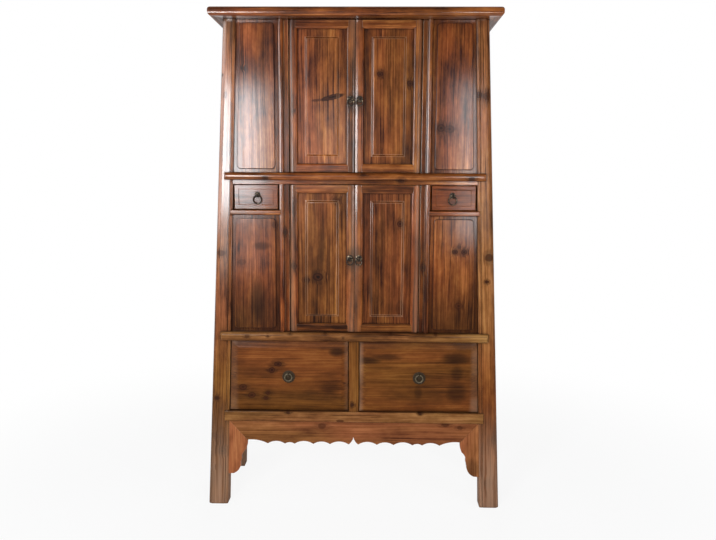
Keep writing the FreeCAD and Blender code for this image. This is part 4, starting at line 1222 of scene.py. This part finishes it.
@dataclass
class Studio:
    """Pale floor, soft lights, white surroundings and the camera."""

    camera_place: Vector = field(default_factory=lambda: Vector((0.081, -3.102, 1.369)))
    yaw: float = math.radians(1.31)
    pitch: float = math.radians(7.40)
    roll: float = math.radians(0.34)
    lens: float = 36.55
    sensor: float = 36.0
    floor_size: float = 10.0
    floor_back: float = 3.0
    room_light: float = 0.28

    def build(self) -> None:
        """Set up the whole studio."""
        self._floor()
        self._surroundings()
        self._softbox("key_softbox", (-1.05, -3.0, 1.57), (0.5, 0.95), 54.0)
        self._softbox("low_strip", (-1.05, -3.0, 0.86), (0.5, 0.48), 2.8)
        self._softbox("left_strip", (-2.3, -1.9, 1.5), (0.3, 1.6), 6.0)
        self._softbox("right_strip", (0.82, -3.0, 1.47), (0.2, 1.2), 14.0)
        self._softbox("side_strip", (2.3, -2.4, 1.3), (0.4, 1.7), 20.0)
        self._softbox("back_softbox", (0.0, 3.6, 2.4), (2.2, 1.4), 60.0)
        self._softbox("middle_strip", (-0.25, -3.04, 1.64), (0.3, 0.6), 1.8)
        self._softbox("left_wall", (-1.75, -1.15, 1.7), (2.6, 1.3), 70.0).visible_diffuse = False
        self._camera()
        bpy.context.scene.view_settings.view_transform = "Standard"

    def _floor(self) -> None:
        """Lay the floor, which shows the cabinet's shadow on white."""
        bpy.ops.mesh.primitive_plane_add(size=self.floor_size, location=(0, self.floor_back, 0))
        floor = placed("floor")
        material = bpy.data.materials.new("floor_paint")
        g = Graph(material)
        place = g.node("TexCoord").outputs["Object"]
        away = g.value(g.node("VectorMath", {"operation": "LENGTH"}, {0: place}), "Value")
        share = g.rays("Camera", "Glossy", "Transmission") * g.ease(away, 0.9, 2.6, 0.88, 1.0)
        paint = g.node("BsdfDiffuse", None, {"Color": (0.86, 0.86, 0.86, 1.0)})
        white = g.node("Emission", None, {"Strength": 1.0})
        mixed = g.node("MixShader", None, {0: share, 1: paint.outputs[0], 2: white.outputs[0]})
        g.node("OutputMaterial", None, {"Surface": mixed.outputs[0]})
        dress(floor, material)

    def _surroundings(self) -> None:
        """Make the white backdrop and the soft light of the room."""
        world = bpy.data.worlds.new("studio")
        bpy.context.scene.world = world
        g = Graph(world)
        direction = g.node("TexCoord").outputs["Generated"]
        ahead = g.value(g.node("SeparateXYZ", None, {0: direction}), "Y")
        backdrop = g.ease(ahead, -0.2, 0.3, 0.03, 1.0)
        shiny = g.rays("Glossy", "Transmission")
        room = self.room_light
        strength = room + shiny * (backdrop - room) + g.rays("Camera") * (1.0 - room)
        light = g.node("Background", None, {"Color": (1.0, 1.0, 1.0, 1.0), "Strength": strength})
        g.node("OutputWorld", None, {"Surface": light.outputs[0]})

    @staticmethod
    def _softbox(name: str, place: Place, size: Pair, power: float) -> Piece:
        """Hang a softbox that looks at the cabinet's middle, with the slightly cool light of a window.

        Args:
            name: Its name.
            place: Where it hangs.
            size: Its width and height.
            power: Its power in watts.

        Returns:
            The lamp.
        """
        bpy.ops.object.light_add(type="AREA", location=place)
        lamp = bpy.context.active_object
        lamp.name = name
        lamp.data.shape = "RECTANGLE"
        lamp.data.size, lamp.data.size_y = size
        lamp.data.energy = power
        lamp.data.color = WINDOW_LIGHT
        aim = Vector(CABINET_MIDDLE) - Vector(place)
        lamp.rotation_euler = aim.to_track_quat("-Z", "Y").to_euler()
        return lamp

    def _camera(self) -> None:
        """Put the camera where the photograph was taken."""
        bpy.ops.object.camera_add(location=self.camera_place)
        camera = bpy.context.active_object
        camera.data.lens = self.lens
        camera.data.sensor_width = self.sensor
        turns = ((self.yaw, "Z"), (math.pi / 2 - self.pitch, "X"), (self.roll, "Z"))
        aside, down, around = (Matrix.Rotation(angle, 3, axis) for angle, axis in turns)
        camera.rotation_euler = (aside @ down @ around).to_euler()
        bpy.context.scene.camera = camera


def main() -> None:
    """Dress the cabinet and set up the studio around it."""
    logging.basicConfig(level=logging.INFO, format="%(name)s: %(message)s")
    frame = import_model()
    nodes = frame["nodes"]
    Case(nodes).build()
    for door in (
        (Tier.UPPER, Side.LEFT, 51.0, AMBER_FIR),
        (Tier.UPPER, Side.RIGHT, 56.0, RUSSET_FIR),
        # The lower doors take deeper tones than the upper ones: painted shade, for the light falling off
        # lower down.
        (Tier.LOWER, Side.LEFT, 61.0, DEEP_FIR),
        (Tier.LOWER, Side.RIGHT, 66.0, DEEP_FIR),
    ):
        Door(nodes, *door).build()
    for drawer in (
        (DrawerSize.SMALL, Side.LEFT, 71.0, 0.52),
        (DrawerSize.SMALL, Side.RIGHT, 75.0, 0.28),
        (DrawerSize.LARGE, Side.LEFT, 79.0, 0.06),
        (DrawerSize.LARGE, Side.RIGHT, 83.0, 0.06),
    ):
        Drawer(nodes, *drawer).build()
    Studio().build()


if __name__ == "__main__":
    main()
